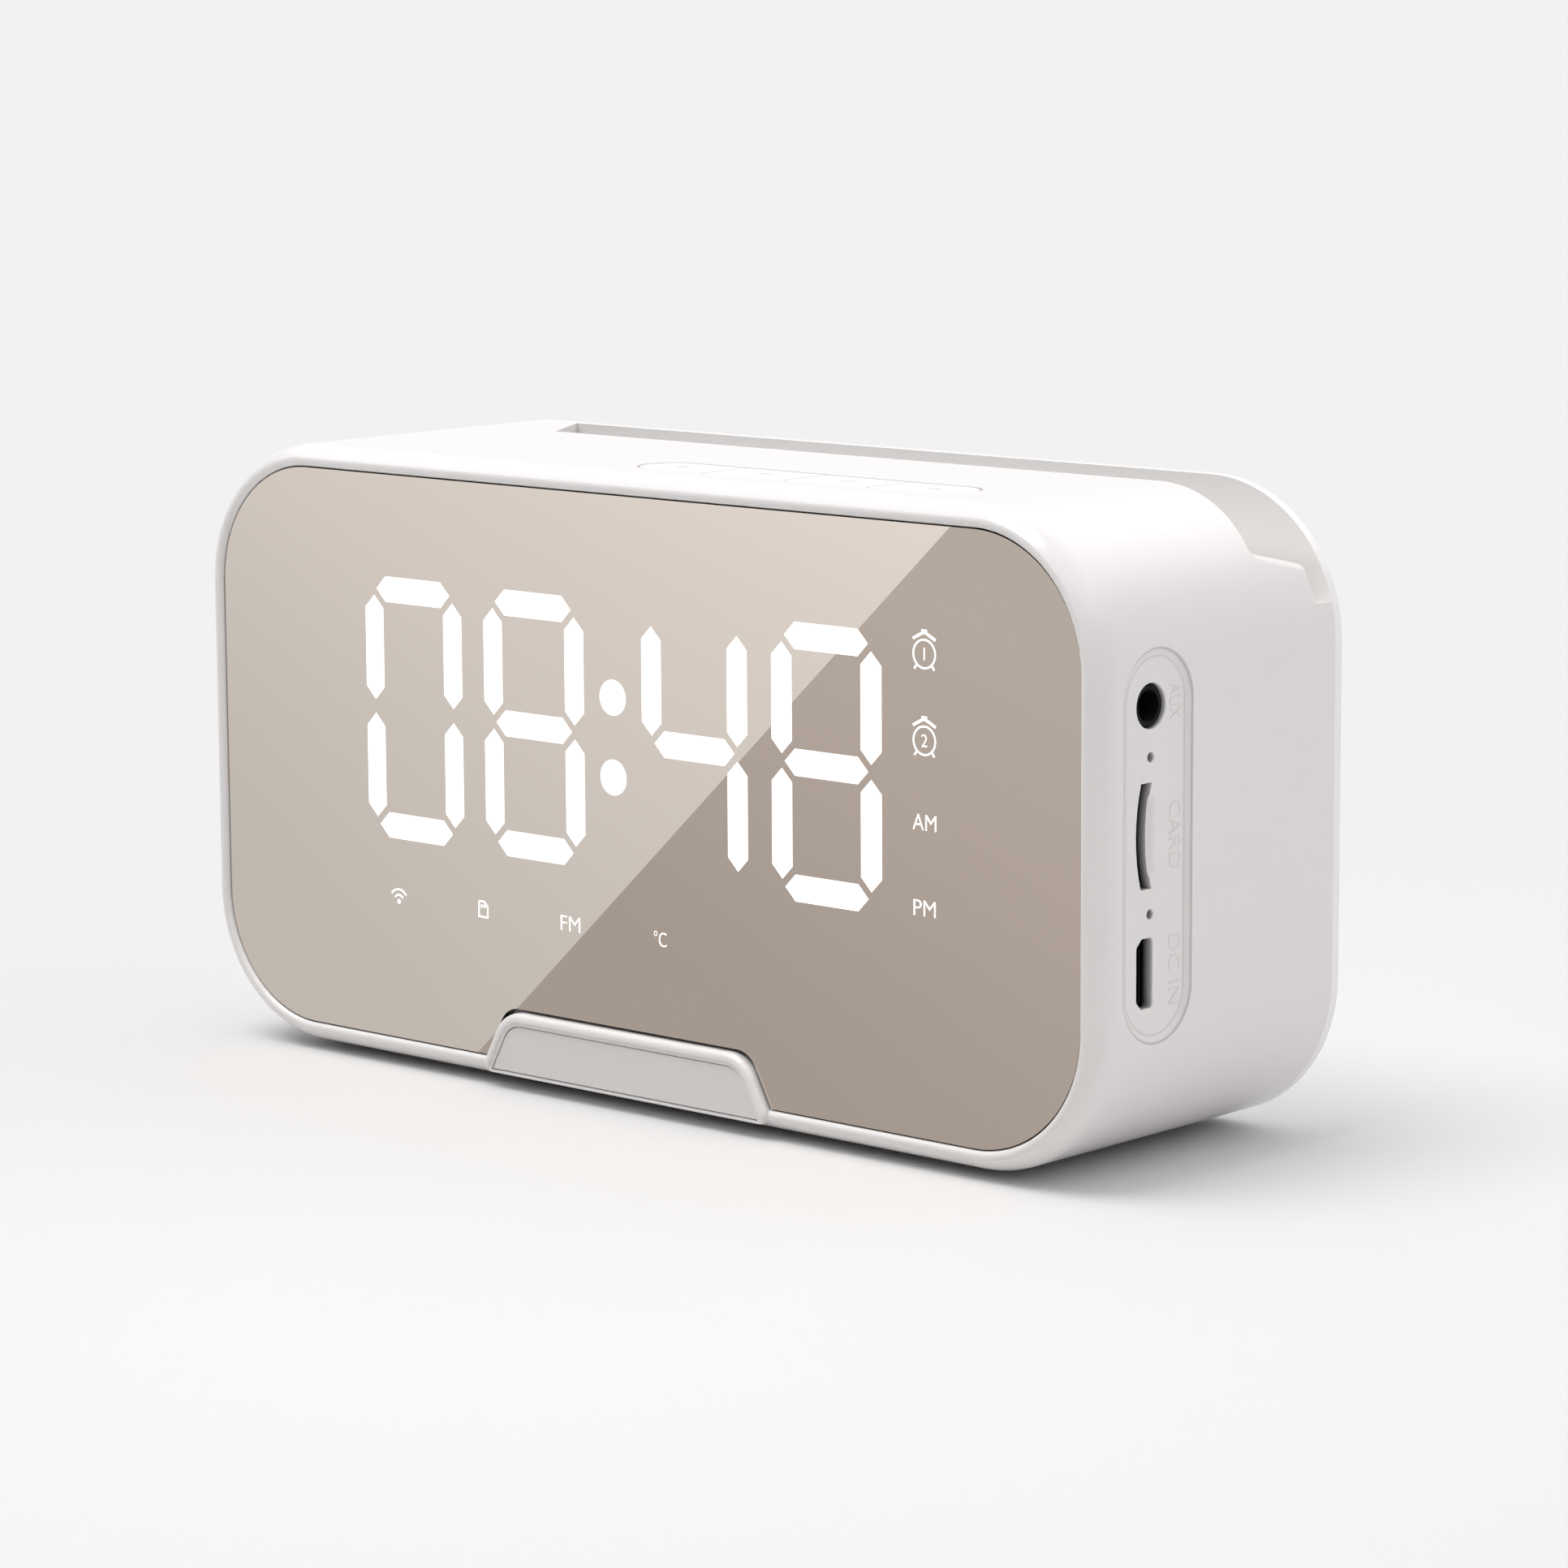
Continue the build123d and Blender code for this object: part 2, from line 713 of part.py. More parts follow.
def segment_points(length, shrink):
    """Corners of a level segment with pointed ends, tip to tip over the given length."""
    half_width = segment_width / 2 - shrink
    tip = length / 2 - shrink
    shoulder = tip - half_width
    return [
        (-tip, 0),
        (-shoulder, -half_width),
        (shoulder, -half_width),
        (tip, 0),
        (shoulder, half_width),
        (-shoulder, half_width),
    ]


# Reflector block of the display: one light well for each segment and indicator
with BuildPart() as display_reflector:
    with BuildSketch(upright(board_front_y, 0)):
        with Locations((reflector_x, reflector_z)):
            Rectangle(reflector_width, reflector_height)
        add(draw_windows(0), mode=Mode.SUBTRACT)
    extrude(amount=board_front_y - seat_y)

save(display_reflector, "display_reflector")

# Clear diffusers in the mouths of the light wells
with BuildPart() as segment_diffusers:
    with BuildSketch(upright(seat_y + diffuser_thickness, 0)):
        add(draw_windows(diffuser_gap))
    extrude(amount=diffuser_thickness)

save(segment_diffusers, "segment_diffusers")

# One light-emitting chip on the board in each light well
with BuildPart() as segment_leds:
    with BuildSketch(upright(board_front_y, 0)):
        with Locations(*[window.center() for window in draw_windows(0).faces()]):
            Rectangle(led_length, led_width)
    extrude(amount=led_height)

save(segment_leds, "segment_leds")

# Main board with its screw holes and the notch of the audio jack
with BuildPart() as main_board:
    with BuildSketch(upright(board_rear_y, 0)):
        with Locations(((board_left + board_right) / 2, (board_foot + board_top) / 2)):
            RectangleRounded(board_right - board_left, board_top - board_foot, board_corner_radius)
        with Locations(*board_posts):
            Circle(small_screw_radius + screw_hole_gap, mode=Mode.SUBTRACT)
        jack_left = inner_side_x - fit_gap - jack_length
        with Locations(((jack_left - fit_gap + inner_side_x) / 2, jack_z)):
            notch_length = inner_side_x - jack_left + fit_gap
            Rectangle(notch_length, jack_width + 2 * fit_gap, mode=Mode.SUBTRACT)
    extrude(amount=board_thickness)

save(main_board, "main_board")

# Audio jack, sunk into the board's notch, with its nose in the side wall
with BuildPart() as audio_jack:
    jack_face = inner_side_x - fit_gap
    with BuildSketch(sideways(jack_face)):
        with Locations((jack_y, jack_z)):
            Rectangle(jack_height, jack_width)
    extrude(amount=-jack_length)
    with BuildSketch(sideways(jack_face)):
        with Locations((jack_y, jack_z)):
            Circle(jack_nose_radius)
    extrude(amount=jack_nose_length)
    with BuildSketch(sideways(jack_face + jack_nose_length)):
        with Locations((jack_y, jack_z)):
            Circle(jack_bore_radius)
    extrude(amount=-jack_bore_depth, mode=Mode.SUBTRACT)

save(audio_jack, "audio_jack")

# Memory card socket on the front of the board
with BuildPart() as card_socket:
    socket_face = inner_side_x - fit_gap
    socket_y = board_front_y - card_socket_height / 2
    with BuildSketch(sideways(socket_face)):
        with Locations((socket_y, card_z)):
            Rectangle(card_socket_height, card_socket_width)
    extrude(amount=-card_socket_length)
    with BuildSketch(sideways(socket_face)):
        with Locations((socket_y, card_z)):
            Rectangle(card_mouth_width, card_mouth_length)
    extrude(amount=-card_mouth_depth, mode=Mode.SUBTRACT)

save(card_socket, "card_socket")

# Power inlet: a folded metal shell with a contact tongue
with BuildPart() as usb_inlet:
    with BuildSketch(sideways(inner_side_x - fit_gap)):
        add(draw_usb(0))
    extrude(amount=-usb_length)
    with BuildSketch(sideways(inner_side_x - fit_gap)):
        add(draw_usb(-usb_shell))
        with Locations((usb_y, usb_z)):
            Rectangle(usb_tongue_thickness, usb_tongue_width, mode=Mode.SUBTRACT)
    extrude(amount=-(usb_length - usb_back_wall), mode=Mode.SUBTRACT)

save(usb_inlet, "usb_inlet")

# Microphone capsule and charge light behind the two pin holes
with BuildPart() as microphone:
    with BuildSketch(sideways(inner_side_x - fit_gap)):
        with Locations((jack_y, microphone_z)):
            Circle(microphone_radius)
    extrude(amount=-microphone_length)
    fillet(microphone.edges().sort_by(Axis.X)[0], fit_gap)

save(microphone, "microphone")

with BuildPart() as charge_led:
    with BuildSketch(upright(board_front_y, 0)):
        with Locations((board_right - led_length, charge_led_z)):
            Rectangle(led_length, led_width)
    extrude(amount=led_height)

save(charge_led, "charge_led")

# Battery cell on a foam pad, and the shielded radio module, on the back of the board
battery_width = 2 * (side_x - speaker_side_setback - motor_radius - battery_motor_gap)
battery_z = (board_foot + board_top) / 2
with BuildPart() as battery_pad:
    with BuildSketch(upright(board_rear_y, 0)):
        with Locations((0, battery_z)):
            Rectangle(battery_width - 2 * battery_pad_inset, battery_height - 2 * battery_pad_inset)
    extrude(amount=-battery_pad_thickness)

save(battery_pad, "battery_pad")

with BuildPart() as battery_cell:
    with BuildSketch(upright(board_rear_y + battery_pad_thickness, 0)):
        with Locations((0, battery_z)):
            RectangleRounded(battery_width, battery_height, battery_edge_radius)
    extrude(amount=-battery_thickness)
    fillet(battery_cell.faces().sort_by(Axis.Y)[-1].edges(), battery_edge_radius)

save(battery_cell, "battery_cell")

with BuildPart() as radio_module:
    radio_x = -battery_width / 2 - radio_gap - radio_width / 2
    with BuildSketch(upright(board_rear_y, 0)):
        with Locations((radio_x, battery_z)):
            Rectangle(radio_width, radio_height)
    extrude(amount=-radio_thickness)
    with BuildSketch(upright(board_rear_y + radio_thickness, 0)):
        with Locations((radio_x, battery_z)):
            Rectangle(radio_width - 2 * radio_can_inset, radio_height - 2 * radio_can_inset)
    extrude(amount=-radio_can_height)

save(radio_module, "radio_module")

# Loudspeakers: depths run inwards from the inner face of the rear cover
speaker_z = body_middle - speaker_drop
speaker_places = {"left": speaker_side_setback - side_x, "right": side_x - speaker_side_setback}
flange_front = speaker_seat_height + gasket_thickness
flange_back = flange_front + flange_thickness
flange_bore = speaker_radius - flange_width
basket_foot = flange_back + basket_depth
motor_back = basket_foot + motor_height
speaker_post_reach = speaker_radius + running_gap + speaker_post_radius
speaker_post_run = speaker_post_reach * cos(radians(speaker_post_angle))
speaker_screw_head = speaker_post_radius + running_gap + speaker_screw_overlap
speaker_posts = [
    (speaker_x + across * speaker_post_run, speaker_z + up * speaker_post_run)
    for speaker_x in speaker_places.values()
    for across in (-1, 1)
    for up in (-1, 1)
]

for side_name, speaker_x in speaker_places.items():
    # Half section of a speaker: local x is the radius, local y runs towards the rear
    section = Plane(origin=(speaker_x, seam_y, speaker_z), x_dir=(1, 0, 0), z_dir=(0, 0, 1))
    speaker_axis = Axis((speaker_x, seam_y, speaker_z), (0, 1, 0))

    with BuildPart() as gasket:
        with BuildSketch(upright(seam_y - speaker_seat_height, speaker_z)):
            with Locations((speaker_x, 0)):
                Circle(speaker_radius)
                Circle(speaker_radius - gasket_width, mode=Mode.SUBTRACT)
        extrude(amount=gasket_thickness)
    save(gasket, f"speaker_gasket_{side_name}")

    with BuildPart() as basket:
        with BuildSketch(section):
            with BuildLine():
                Polyline(
                    (flange_bore, -flange_front),
                    (speaker_radius, -flange_front),
                    (speaker_radius, -flange_back),
                    (flange_bore + basket_wall, -flange_back),
                    (basket_foot_radius, -basket_foot),
                    (basket_bore_radius, -basket_foot),
                    (basket_bore_radius, -basket_foot + basket_wall),
                    (basket_foot_radius - basket_wall, -basket_foot + basket_wall),
                    (flange_bore, -flange_back),
                    close=True,
                )
            make_face()
        revolve(axis=speaker_axis)
        window_height = basket_depth * basket_window_share
        window_front = flange_back + (basket_depth - window_height) / 2
        half_opening = speaker_radius * tan(radians(basket_window_angle / 2))
        with BuildSketch(upright(seam_y - window_front, speaker_z)):
            with Locations((speaker_x, 0)):
                with PolarLocations(0, basket_window_count):
                    Polygon(
                        (0, 0),
                        (speaker_radius, -half_opening),
                        (speaker_radius, half_opening),
                        align=None,
                    )
        extrude(amount=window_height, mode=Mode.SUBTRACT)
    save(basket, f"speaker_frame_{side_name}")

    with BuildPart() as motor:
        with BuildSketch(section):
            with BuildLine():
                Polyline(
                    (0, -basket_foot),
                    (motor_gap_inner_radius, -basket_foot),
                    (motor_gap_inner_radius, -basket_foot - motor_gap_depth),
                    (motor_gap_outer_radius, -basket_foot - motor_gap_depth),
                    (motor_gap_outer_radius, -basket_foot),
                    (motor_radius, -basket_foot),
                    (motor_radius, -motor_back),
                    (0, -motor_back),
                    close=True,
                )
            make_face()
        revolve(axis=speaker_axis)
        fillet(motor.edges().sort_by(Axis.Y)[0], motor_edge_radius)
    save(motor, f"speaker_motor_{side_name}")

    # Cone, dust cap and voice coil, which move as one
    with BuildPart() as cone:
        neck = flange_front + surround_thickness + cone_depth
        coil_end = basket_foot + motor_gap_depth * coil_depth_share
        with BuildSketch(section):
            with BuildLine():
                edge_front = flange_front + surround_gap
                ThreePointArc(
                    (0, -neck + dust_cap_rise),
                    (coil_outer_radius / 2, -neck + dust_cap_rise * dust_cap_share),
                    (coil_outer_radius, -neck),
                )
                Polyline(
                    (coil_outer_radius, -neck),
                    (cone_radius, -edge_front),
                    (cone_radius, -edge_front - cone_thickness),
                    (coil_outer_radius, -neck - cone_thickness),
                    (coil_outer_radius, -coil_end),
                    (coil_inner_radius, -coil_end),
                    (coil_inner_radius, -neck - cone_thickness),
                    (0, -neck + dust_cap_rise - cone_thickness),
                    (0, -neck + dust_cap_rise),
                )
            make_face()
        revolve(axis=speaker_axis)
    save(cone, f"speaker_cone_{side_name}")

    # Half-roll rubber surround between the cone and the frame
    with BuildPart() as surround:
        roll_radius = (flange_bore - cone_radius) / 2
        roll_middle = (flange_bore + cone_radius) / 2
        roll_shoulder = sqrt(roll_radius**2 - surround_thickness**2)
        land_back = -flange_front
        land_front = -flange_front + surround_thickness
        with BuildSketch(section):
            with BuildLine():
                Line(
                    (cone_radius - surround_land, land_back),
                    (cone_radius + surround_thickness, land_back),
                )
                ThreePointArc(
                    (cone_radius + surround_thickness, land_back),
                    (roll_middle, land_back + roll_radius - surround_thickness),
                    (flange_bore - surround_thickness, land_back),
                )
                Polyline(
                    (flange_bore - surround_thickness, land_back),
                    (flange_bore + surround_land, land_back),
                    (flange_bore + surround_land, land_front),
                    (roll_middle + roll_shoulder, land_front),
                )
                ThreePointArc(
                    (roll_middle + roll_shoulder, land_front),
                    (roll_middle, land_back + roll_radius),
                    (roll_middle - roll_shoulder, land_front),
                )
                Polyline(
                    (roll_middle - roll_shoulder, land_front),
                    (cone_radius - surround_land, land_front),
                    (cone_radius - surround_land, land_back),
                )
            make_face()
        revolve(axis=speaker_axis)
    save(surround, f"speaker_surround_{side_name}")

# Rear cover: the plate behind the phone slot, with speaker seats, posts, grilles and a lip
grille_radius = grille_rings * grille_pitch + grille_hole_radius
with BuildPart() as rear_cover:
    with BuildSketch(upright(rear_y)):
        RectangleRounded(body_width, body_height, corner_radius)
    extrude(amount=cover_thickness)
    fillet(rear_cover.faces().sort_by(Axis.Y)[-1].edges(), rear_edge_radius)

    # Lip inside the housing, below the phone slot and clear of the screw posts
    lip_radius = corner_radius - wall - fit_gap
    lip_width = body_width - 2 * (wall + fit_gap)
    lip_height = body_height - 2 * (wall + fit_gap)
    lip_top = groove_floor - slot_wall - running_gap
    with BuildSketch(upright(seam_y, 0)):
        with Locations((0, body_middle)):
            RectangleRounded(lip_width, lip_height, lip_radius)
            RectangleRounded(
                lip_width - 2 * cover_lip_thickness,
                lip_height - 2 * cover_lip_thickness,
                lip_radius - cover_lip_thickness,
                mode=Mode.SUBTRACT,
            )
        with Locations((0, lip_top)):
            Rectangle(body_width, body_height, align=(Align.CENTER, Align.MIN), mode=Mode.SUBTRACT)
        with Locations(*cover_posts):
            post_room = cover_post_radius + running_gap
            Rectangle(2 * (cover_post_inset + wall), 2 * post_room, mode=Mode.SUBTRACT)
    extrude(amount=cover_lip_depth)

    # Raised seats and screw posts of the loudspeakers
    with BuildSketch(upright(seam_y, speaker_z)):
        with Locations(*[(speaker_x, 0) for speaker_x in speaker_places.values()]):
            Circle(speaker_radius)
            Circle(speaker_radius - gasket_width, mode=Mode.SUBTRACT)
    extrude(amount=speaker_seat_height)
    with BuildSketch(upright(seam_y, 0)):
        with Locations(*speaker_posts):
            Circle(speaker_post_radius)
            Circle(small_screw_radius, mode=Mode.SUBTRACT)
    extrude(amount=flange_back)

    # Sunk screw holes and the dished grilles
    with BuildSketch(upright(rear_y, 0)):
        with Locations(*cover_posts):
            Circle(screw_radius + screw_hole_gap)
    extrude(amount=cover_thickness, mode=Mode.SUBTRACT)
    with BuildSketch(upright(rear_y, 0)):
        with Locations(*cover_posts):
            Circle(screw_head_radius + screw_hole_gap)
    extrude(amount=screw_head_height, mode=Mode.SUBTRACT)
    with BuildSketch(upright(rear_y, speaker_z)):
        with Locations(*[(speaker_x, 0) for speaker_x in speaker_places.values()]):
            Circle(grille_radius + grille_dish_margin)
    extrude(amount=grille_dish_depth, mode=Mode.SUBTRACT)
    with BuildSketch(upright(rear_y, speaker_z)):
        with Locations(*[(speaker_x, 0) for speaker_x in speaker_places.values()]):
            Circle(grille_hole_radius)
            for ring in range(1, grille_rings + 1):
                with PolarLocations(ring * grille_pitch, ring * first_ring_holes):
                    Circle(grille_hole_radius)
    extrude(amount=cover_thickness, mode=Mode.SUBTRACT)

save(rear_cover, "rear_cover")

# Screws that hold the rear cover, heads sunk in from the rear
with BuildPart() as cover_screws:
    screw_seat = rear_y - screw_head_height
    with BuildSketch(upright(screw_seat, 0)):
        with Locations(*cover_posts):
            Circle(screw_head_radius)
    extrude(amount=-(screw_head_height - fit_gap))
    with BuildSketch(upright(screw_seat, 0)):
        with Locations(*cover_posts):
            Circle(screw_radius - screw_thread_gap)
    extrude(amount=screw_length)

save(cover_screws, "cover_screws")

# Screws that hold the main board, heads on its back
with BuildPart() as board_screws:
    with BuildSketch(upright(board_rear_y, 0)):
        with Locations(*board_posts):
            Circle(small_screw_head_radius)
    extrude(amount=-small_screw_head_height)
    with BuildSketch(upright(board_rear_y, 0)):
        with Locations(*board_posts):
            Circle(small_screw_radius - screw_thread_gap)
    extrude(amount=small_screw_length)

save(board_screws, "board_screws")

# Screws that hold the switch board, heads underneath it
with BuildPart() as key_board_screws:
    key_screw_seat = key_board_top - key_board_thickness
    with BuildSketch(level(key_screw_seat)):
        with Locations(*key_board_posts):
            Circle(small_screw_head_radius)
    extrude(amount=-small_screw_head_height)
    with BuildSketch(level(key_screw_seat)):
        with Locations(*key_board_posts):
            Circle(small_screw_radius - screw_thread_gap)
    extrude(amount=small_screw_length)

save(key_board_screws, "key_board_screws")

# Screws whose wide heads clamp the loudspeaker flanges
with BuildPart() as speaker_screws:
    speaker_screw_seat = seam_y - flange_back
    with BuildSketch(upright(speaker_screw_seat, 0)):
        with Locations(*speaker_posts):
            Circle(speaker_screw_head)
    extrude(amount=small_screw_head_height)
    with BuildSketch(upright(speaker_screw_seat, 0)):
        with Locations(*speaker_posts):
            Circle(small_screw_radius - screw_thread_gap)
    extrude(amount=-(flange_back - fit_gap))

save(speaker_screws, "speaker_screws")

# Rubber feet, glued into round recesses
for foot_name, foot_place in foot_places.items():
    with BuildPart() as foot:
        with BuildSketch(level(0)):
            with Locations(foot_place):
                Circle(foot_radius)
        extrude(amount=foot_height + foot_recess)
        fillet(foot.edges().sort_by(Axis.Z)[0], foot_edge_radius)
    save(foot, foot_name)
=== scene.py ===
import json
import math

import bpy
from mathutils import Matrix, Vector


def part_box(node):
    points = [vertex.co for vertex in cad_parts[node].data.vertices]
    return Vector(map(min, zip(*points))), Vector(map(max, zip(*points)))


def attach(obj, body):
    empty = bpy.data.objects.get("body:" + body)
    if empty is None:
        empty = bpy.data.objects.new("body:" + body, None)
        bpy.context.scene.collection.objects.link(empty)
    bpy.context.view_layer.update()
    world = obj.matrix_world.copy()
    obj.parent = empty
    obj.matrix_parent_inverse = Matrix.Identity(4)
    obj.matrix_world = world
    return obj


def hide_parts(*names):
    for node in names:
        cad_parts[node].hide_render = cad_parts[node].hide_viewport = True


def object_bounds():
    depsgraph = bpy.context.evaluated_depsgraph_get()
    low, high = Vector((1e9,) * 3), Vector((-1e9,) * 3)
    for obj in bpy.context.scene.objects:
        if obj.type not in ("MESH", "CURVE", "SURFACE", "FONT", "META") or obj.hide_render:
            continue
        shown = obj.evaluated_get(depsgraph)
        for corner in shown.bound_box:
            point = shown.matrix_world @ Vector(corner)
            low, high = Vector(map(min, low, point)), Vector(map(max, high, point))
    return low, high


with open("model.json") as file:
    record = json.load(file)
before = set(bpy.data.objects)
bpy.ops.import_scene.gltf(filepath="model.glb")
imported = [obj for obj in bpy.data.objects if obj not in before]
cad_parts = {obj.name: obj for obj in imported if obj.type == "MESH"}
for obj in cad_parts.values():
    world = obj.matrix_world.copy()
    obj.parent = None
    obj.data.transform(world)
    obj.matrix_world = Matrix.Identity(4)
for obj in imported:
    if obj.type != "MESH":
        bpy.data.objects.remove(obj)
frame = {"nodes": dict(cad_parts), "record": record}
cad_low, cad_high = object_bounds()

# Metres, in the part's own frame: X to the right, Y to the rear, Z up from the table
mm = 0.001
quarter_turn = math.radians(90)
half_turn = math.radians(180)
round_corners = 48
dot_corners = 40

# Camera, fitted to the outline and the lens edge in the photograph
camera_azimuth = math.radians(42.229)
camera_elevation = math.radians(9.160)
camera_roll = math.radians(-0.335)
camera_distance = 636.55 * mm
camera_target = Vector((6.349, 0, 37.65)) * mm
camera_near = 0.01
camera_far = 200.0
photo_pixels = 1932
focal_pixels = 6516.46
sensor_width = 36

# Places on the CAD pieces that carry the marks
lens_face_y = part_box("mirror_lens")[0].y
window_low, window_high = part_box("segment_diffusers")
housing_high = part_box("main_housing")[1]

# Lit display, in the sizes of the light wells behind the lens
window_gap = 0.05 * mm
digit_width = 16.8 * mm
digit_height = 32.45 * mm
digit_gap = 3.8 * mm
digit_pair_gap = 9.5 * mm
segment_width = 3.15 * mm
bar_tip_gap = 0.45 * mm
post_tip_gap = 0.85 * mm
colon_radius = 2.15 * mm
colon_pitch = 9.55 * mm
indicator_half = 2.2 * mm
indicator_pitch = 9.8 * mm
mode_inset = 5.05 * mm
mode_pitch = 14.83 * mm
lit_thickness = 0.04 * mm
lit_edge = 0.015 * mm
letter_height = 1.8 * mm
letter_widths = {"AM": 3.45 * mm, "PM": 3.25 * mm, "FM": 3.25 * mm, "°C": 2.0 * mm}
letter_weight = -0.012
lit_strength = 0.7
time_shown = "0848"
segments_of = {"0": "abcdef", "4": "bcfg", "8": "abcdefg"}
column_middle = 1.5
display_left = window_low.x - window_gap
display_z = window_high.z + window_gap - indicator_half - column_middle * indicator_pitch

# Small signs of the display; pairs are a stroke's length and width, or a place across and up
stroke = 0.22 * mm
alarm_face_radius = 1.72 * mm
alarm_numeral_height = 1.4 * mm
alarm_foot = (0.6 * mm, 0.26 * mm)
alarm_foot_place = (1.3 * mm, -1.5 * mm)
alarm_foot_tilt = math.radians(-52)
alarm_roof = (1.9 * mm, 0.34 * mm)
alarm_roof_place = (0.82 * mm, 2.08 * mm)
alarm_roof_tilt = math.radians(-27)
alarm_knob = (0.8 * mm, 0.5 * mm)
alarm_knob_rise = 2.52 * mm
alarm_drop = 0.5 * mm
wave_dot_radius = 0.3 * mm
wave_radii = (0.95 * mm, 1.65 * mm)
wave_cut = 0.55
wave_drop = 0.8 * mm
memory_card_width = 1.5 * mm
memory_card_height = 1.9 * mm
memory_card_cut = 0.55 * mm
memory_card_contact = (0.42 * mm, 0.17 * mm)
memory_card_contact_pitch = 0.33 * mm
memory_card_contact_rise = 0.38 * mm

# Marks on the keys, whose strokes are shares of the mark's size
key_mark_size = 1.5 * mm
key_mark_thickness = 0.02 * mm
key_arrow = 0.42
key_bar = (0.8, 0.14)
key_ring_line = 0.13
key_dot = 0.16

# Words beside the sockets, and the places that the painted shade of their recess and holes needs
recess_depth = 0.5 * mm
label_y = -7.9 * mm
label_lift = 0.12 * mm
label_height = 2.0 * mm
label_places = {"AUX": 54.8 * mm, "CARD": 39.8 * mm, "DC IN": 24.6 * mm}
label_widths = {"AUX": 4.0 * mm, "CARD": 7.6 * mm, "DC IN": 7.9 * mm}
recess_middle = (-11.45 * mm, 38.9 * mm)
recess_radius = 6.05 * mm
recess_straight = 16.1 * mm
recess_line_inside = 2 * mm
recess_line_outside = 1 * mm
recess_line_depth = 1 * mm
# Grey of the painted shadow lines, and where across the edge they lie
recess_shadow_grey = (0.5, 0.485, 0.48)
recess_line_stops = ((0.3, 0.0), (0.37, 0.5), (0.44, 0.05), (0.58, 0.1), (0.66, 1.0), (0.74, 0.0))
socket_holes = {
    "X": (71.2 * mm, 0.85 * mm), "Y": (-12.0 * mm, 5.0 * mm), "Z": (39.0 * mm, 19.2 * mm),
}
# Painted shade inside the socket holes, from where it starts to where it is full
hole_shade_start = 0.1 * mm
hole_shade_end = 1.4 * mm
hole_painted_shade = (0.02, 0.02, 0.02)
# Painted shade on the sockets' mouths, from where it starts to where it is full
socket_mouth_start = 66.0 * mm
socket_mouth_end = 67.0 * mm

# Cross recesses in the heads of the cover screws
screw_head_radius = 2.1 * mm
screw_head_height = 0.75 * mm
screw_edge = 0.22 * mm
cross_length = 2.3 * mm
cross_width = 0.5 * mm
cross_depth = 0.42 * mm
screw_turns = (0.2, 0.9, 1.3, 0.5)
screw_smooth_angle = math.radians(35)

# Line across the lens where the reflection of the bright card meets that of the grey one
split_top = Vector((50.8, 0, 73.8)) * mm
split_foot = Vector((-25.0, 0, 3.9)) * mm

# Cards on the table that only reflections show, with their light graded along the slope
card_size = 6.0
card_lift = 0.2 * mm
card_gap = 1 * mm
card_slope = (1.3, -1.9, 0)
card_grades = {
    "bright_card": [
        (0.0, (0.80, 0.80, 0.80)), (0.17, (0.95, 0.95, 0.95)), (0.47, (1.12, 1.12, 1.12)),
    ],
    "grey_card": [
        (0.1, (0.565, 0.53, 0.51)), (0.25, (0.655, 0.612, 0.59)), (0.4, (0.69, 0.666, 0.645)),
    ],
}

# Floor, with a pool of light painted into its colour, lightest at the glow
floor_size = 60.0
floor_painted_glow = Vector((50, -90, 0)) * mm
floor_reach = 1.5
floor_roughness = 0.9
floor_tones = [
    (0.02, (0.81, 0.81, 0.81)), (0.12, (0.74, 0.741, 0.742)), (1.0, (0.745, 0.746, 0.747)),
]

# Light: the sky's strength is its level plus the direction's part along the lean,
# and the softbox that reflections show fades in between two heights of the direction
sky_colour = (1.0, 0.99, 0.985)
sky_level = 0.4
sky_lean = (0.02, 0.38, 0.6)
backdrop_colour = (0.9, 0.9, 0.9)
softbox_from = 0.4
softbox_full = 0.7
softbox_strength = 2.8
lamp_energy = 1.35
lamp_angle = math.radians(36)
lamp_direction = Vector((-0.2, -0.3, 0.92))

# Values of the finishes
shell_white = (0.83, 0.81, 0.805)
coat_roughness = 0.06
relief_depth = 0.02 * mm
moulded_spread = 0.06
mirror_stretch = (0.01, 0.01, 0.01)
foil_stretch = (0.05, 0.05, 0.05)

# Y part of the normal on the face of the lens, and on its cut edge
lens_face_turn = -0.8
lens_edge_turn = -0.4


# Handling of objects

def pick(*pieces):
    """Select these objects alone, the last one active."""
    bpy.ops.object.select_all(action="DESELECT")
    for piece in pieces:
        piece.select_set(True)
    bpy.context.view_layer.objects.active = pieces[-1]


def new_piece(name):
    """Name the object that an operator just added."""
    piece = bpy.context.object
    piece.name = name
    piece.data.name = name
    return piece


def settle(piece):
    """Put the object's place, turn and scale into its mesh."""
    pick(piece)
    bpy.ops.object.transform_apply(location=True, rotation=True, scale=True)
    return piece


def copy_of(piece, name):
    """A second piece with a mesh of its own."""
    twin = piece.copy()
    twin.data = piece.data.copy()
    twin.name = name
    bpy.context.scene.collection.objects.link(twin)
    return twin


def join(pieces, name):
    """Several pieces as one."""
    pick(*pieces)
    bpy.ops.object.join()
    return new_piece(name)


def dress(piece, material):
    """One material, in place of any that the piece has."""
    piece.data.materials.clear()
    piece.data.materials.append(material)


def thicken(piece):
    """Raise a flat outline to a lit plate with softened edges."""
    pick(piece)
    bpy.ops.object.mode_set(mode="EDIT")
    bpy.ops.mesh.select_all(action="SELECT")
    bpy.ops.mesh.extrude_region_move(TRANSFORM_OT_translate={"value": (0, 0, lit_thickness)})
    bpy.ops.mesh.select_all(action="SELECT")
    bpy.ops.mesh.normals_make_consistent(inside=False)
    bpy.ops.object.mode_set(mode="OBJECT")
    softened = piece.modifiers.new("softened", "BEVEL")
    softened.width = lit_edge
    softened.segments = 1
    softened.limit_method = "ANGLE"
    bpy.ops.object.modifier_apply(modifier=softened.name)
    return piece


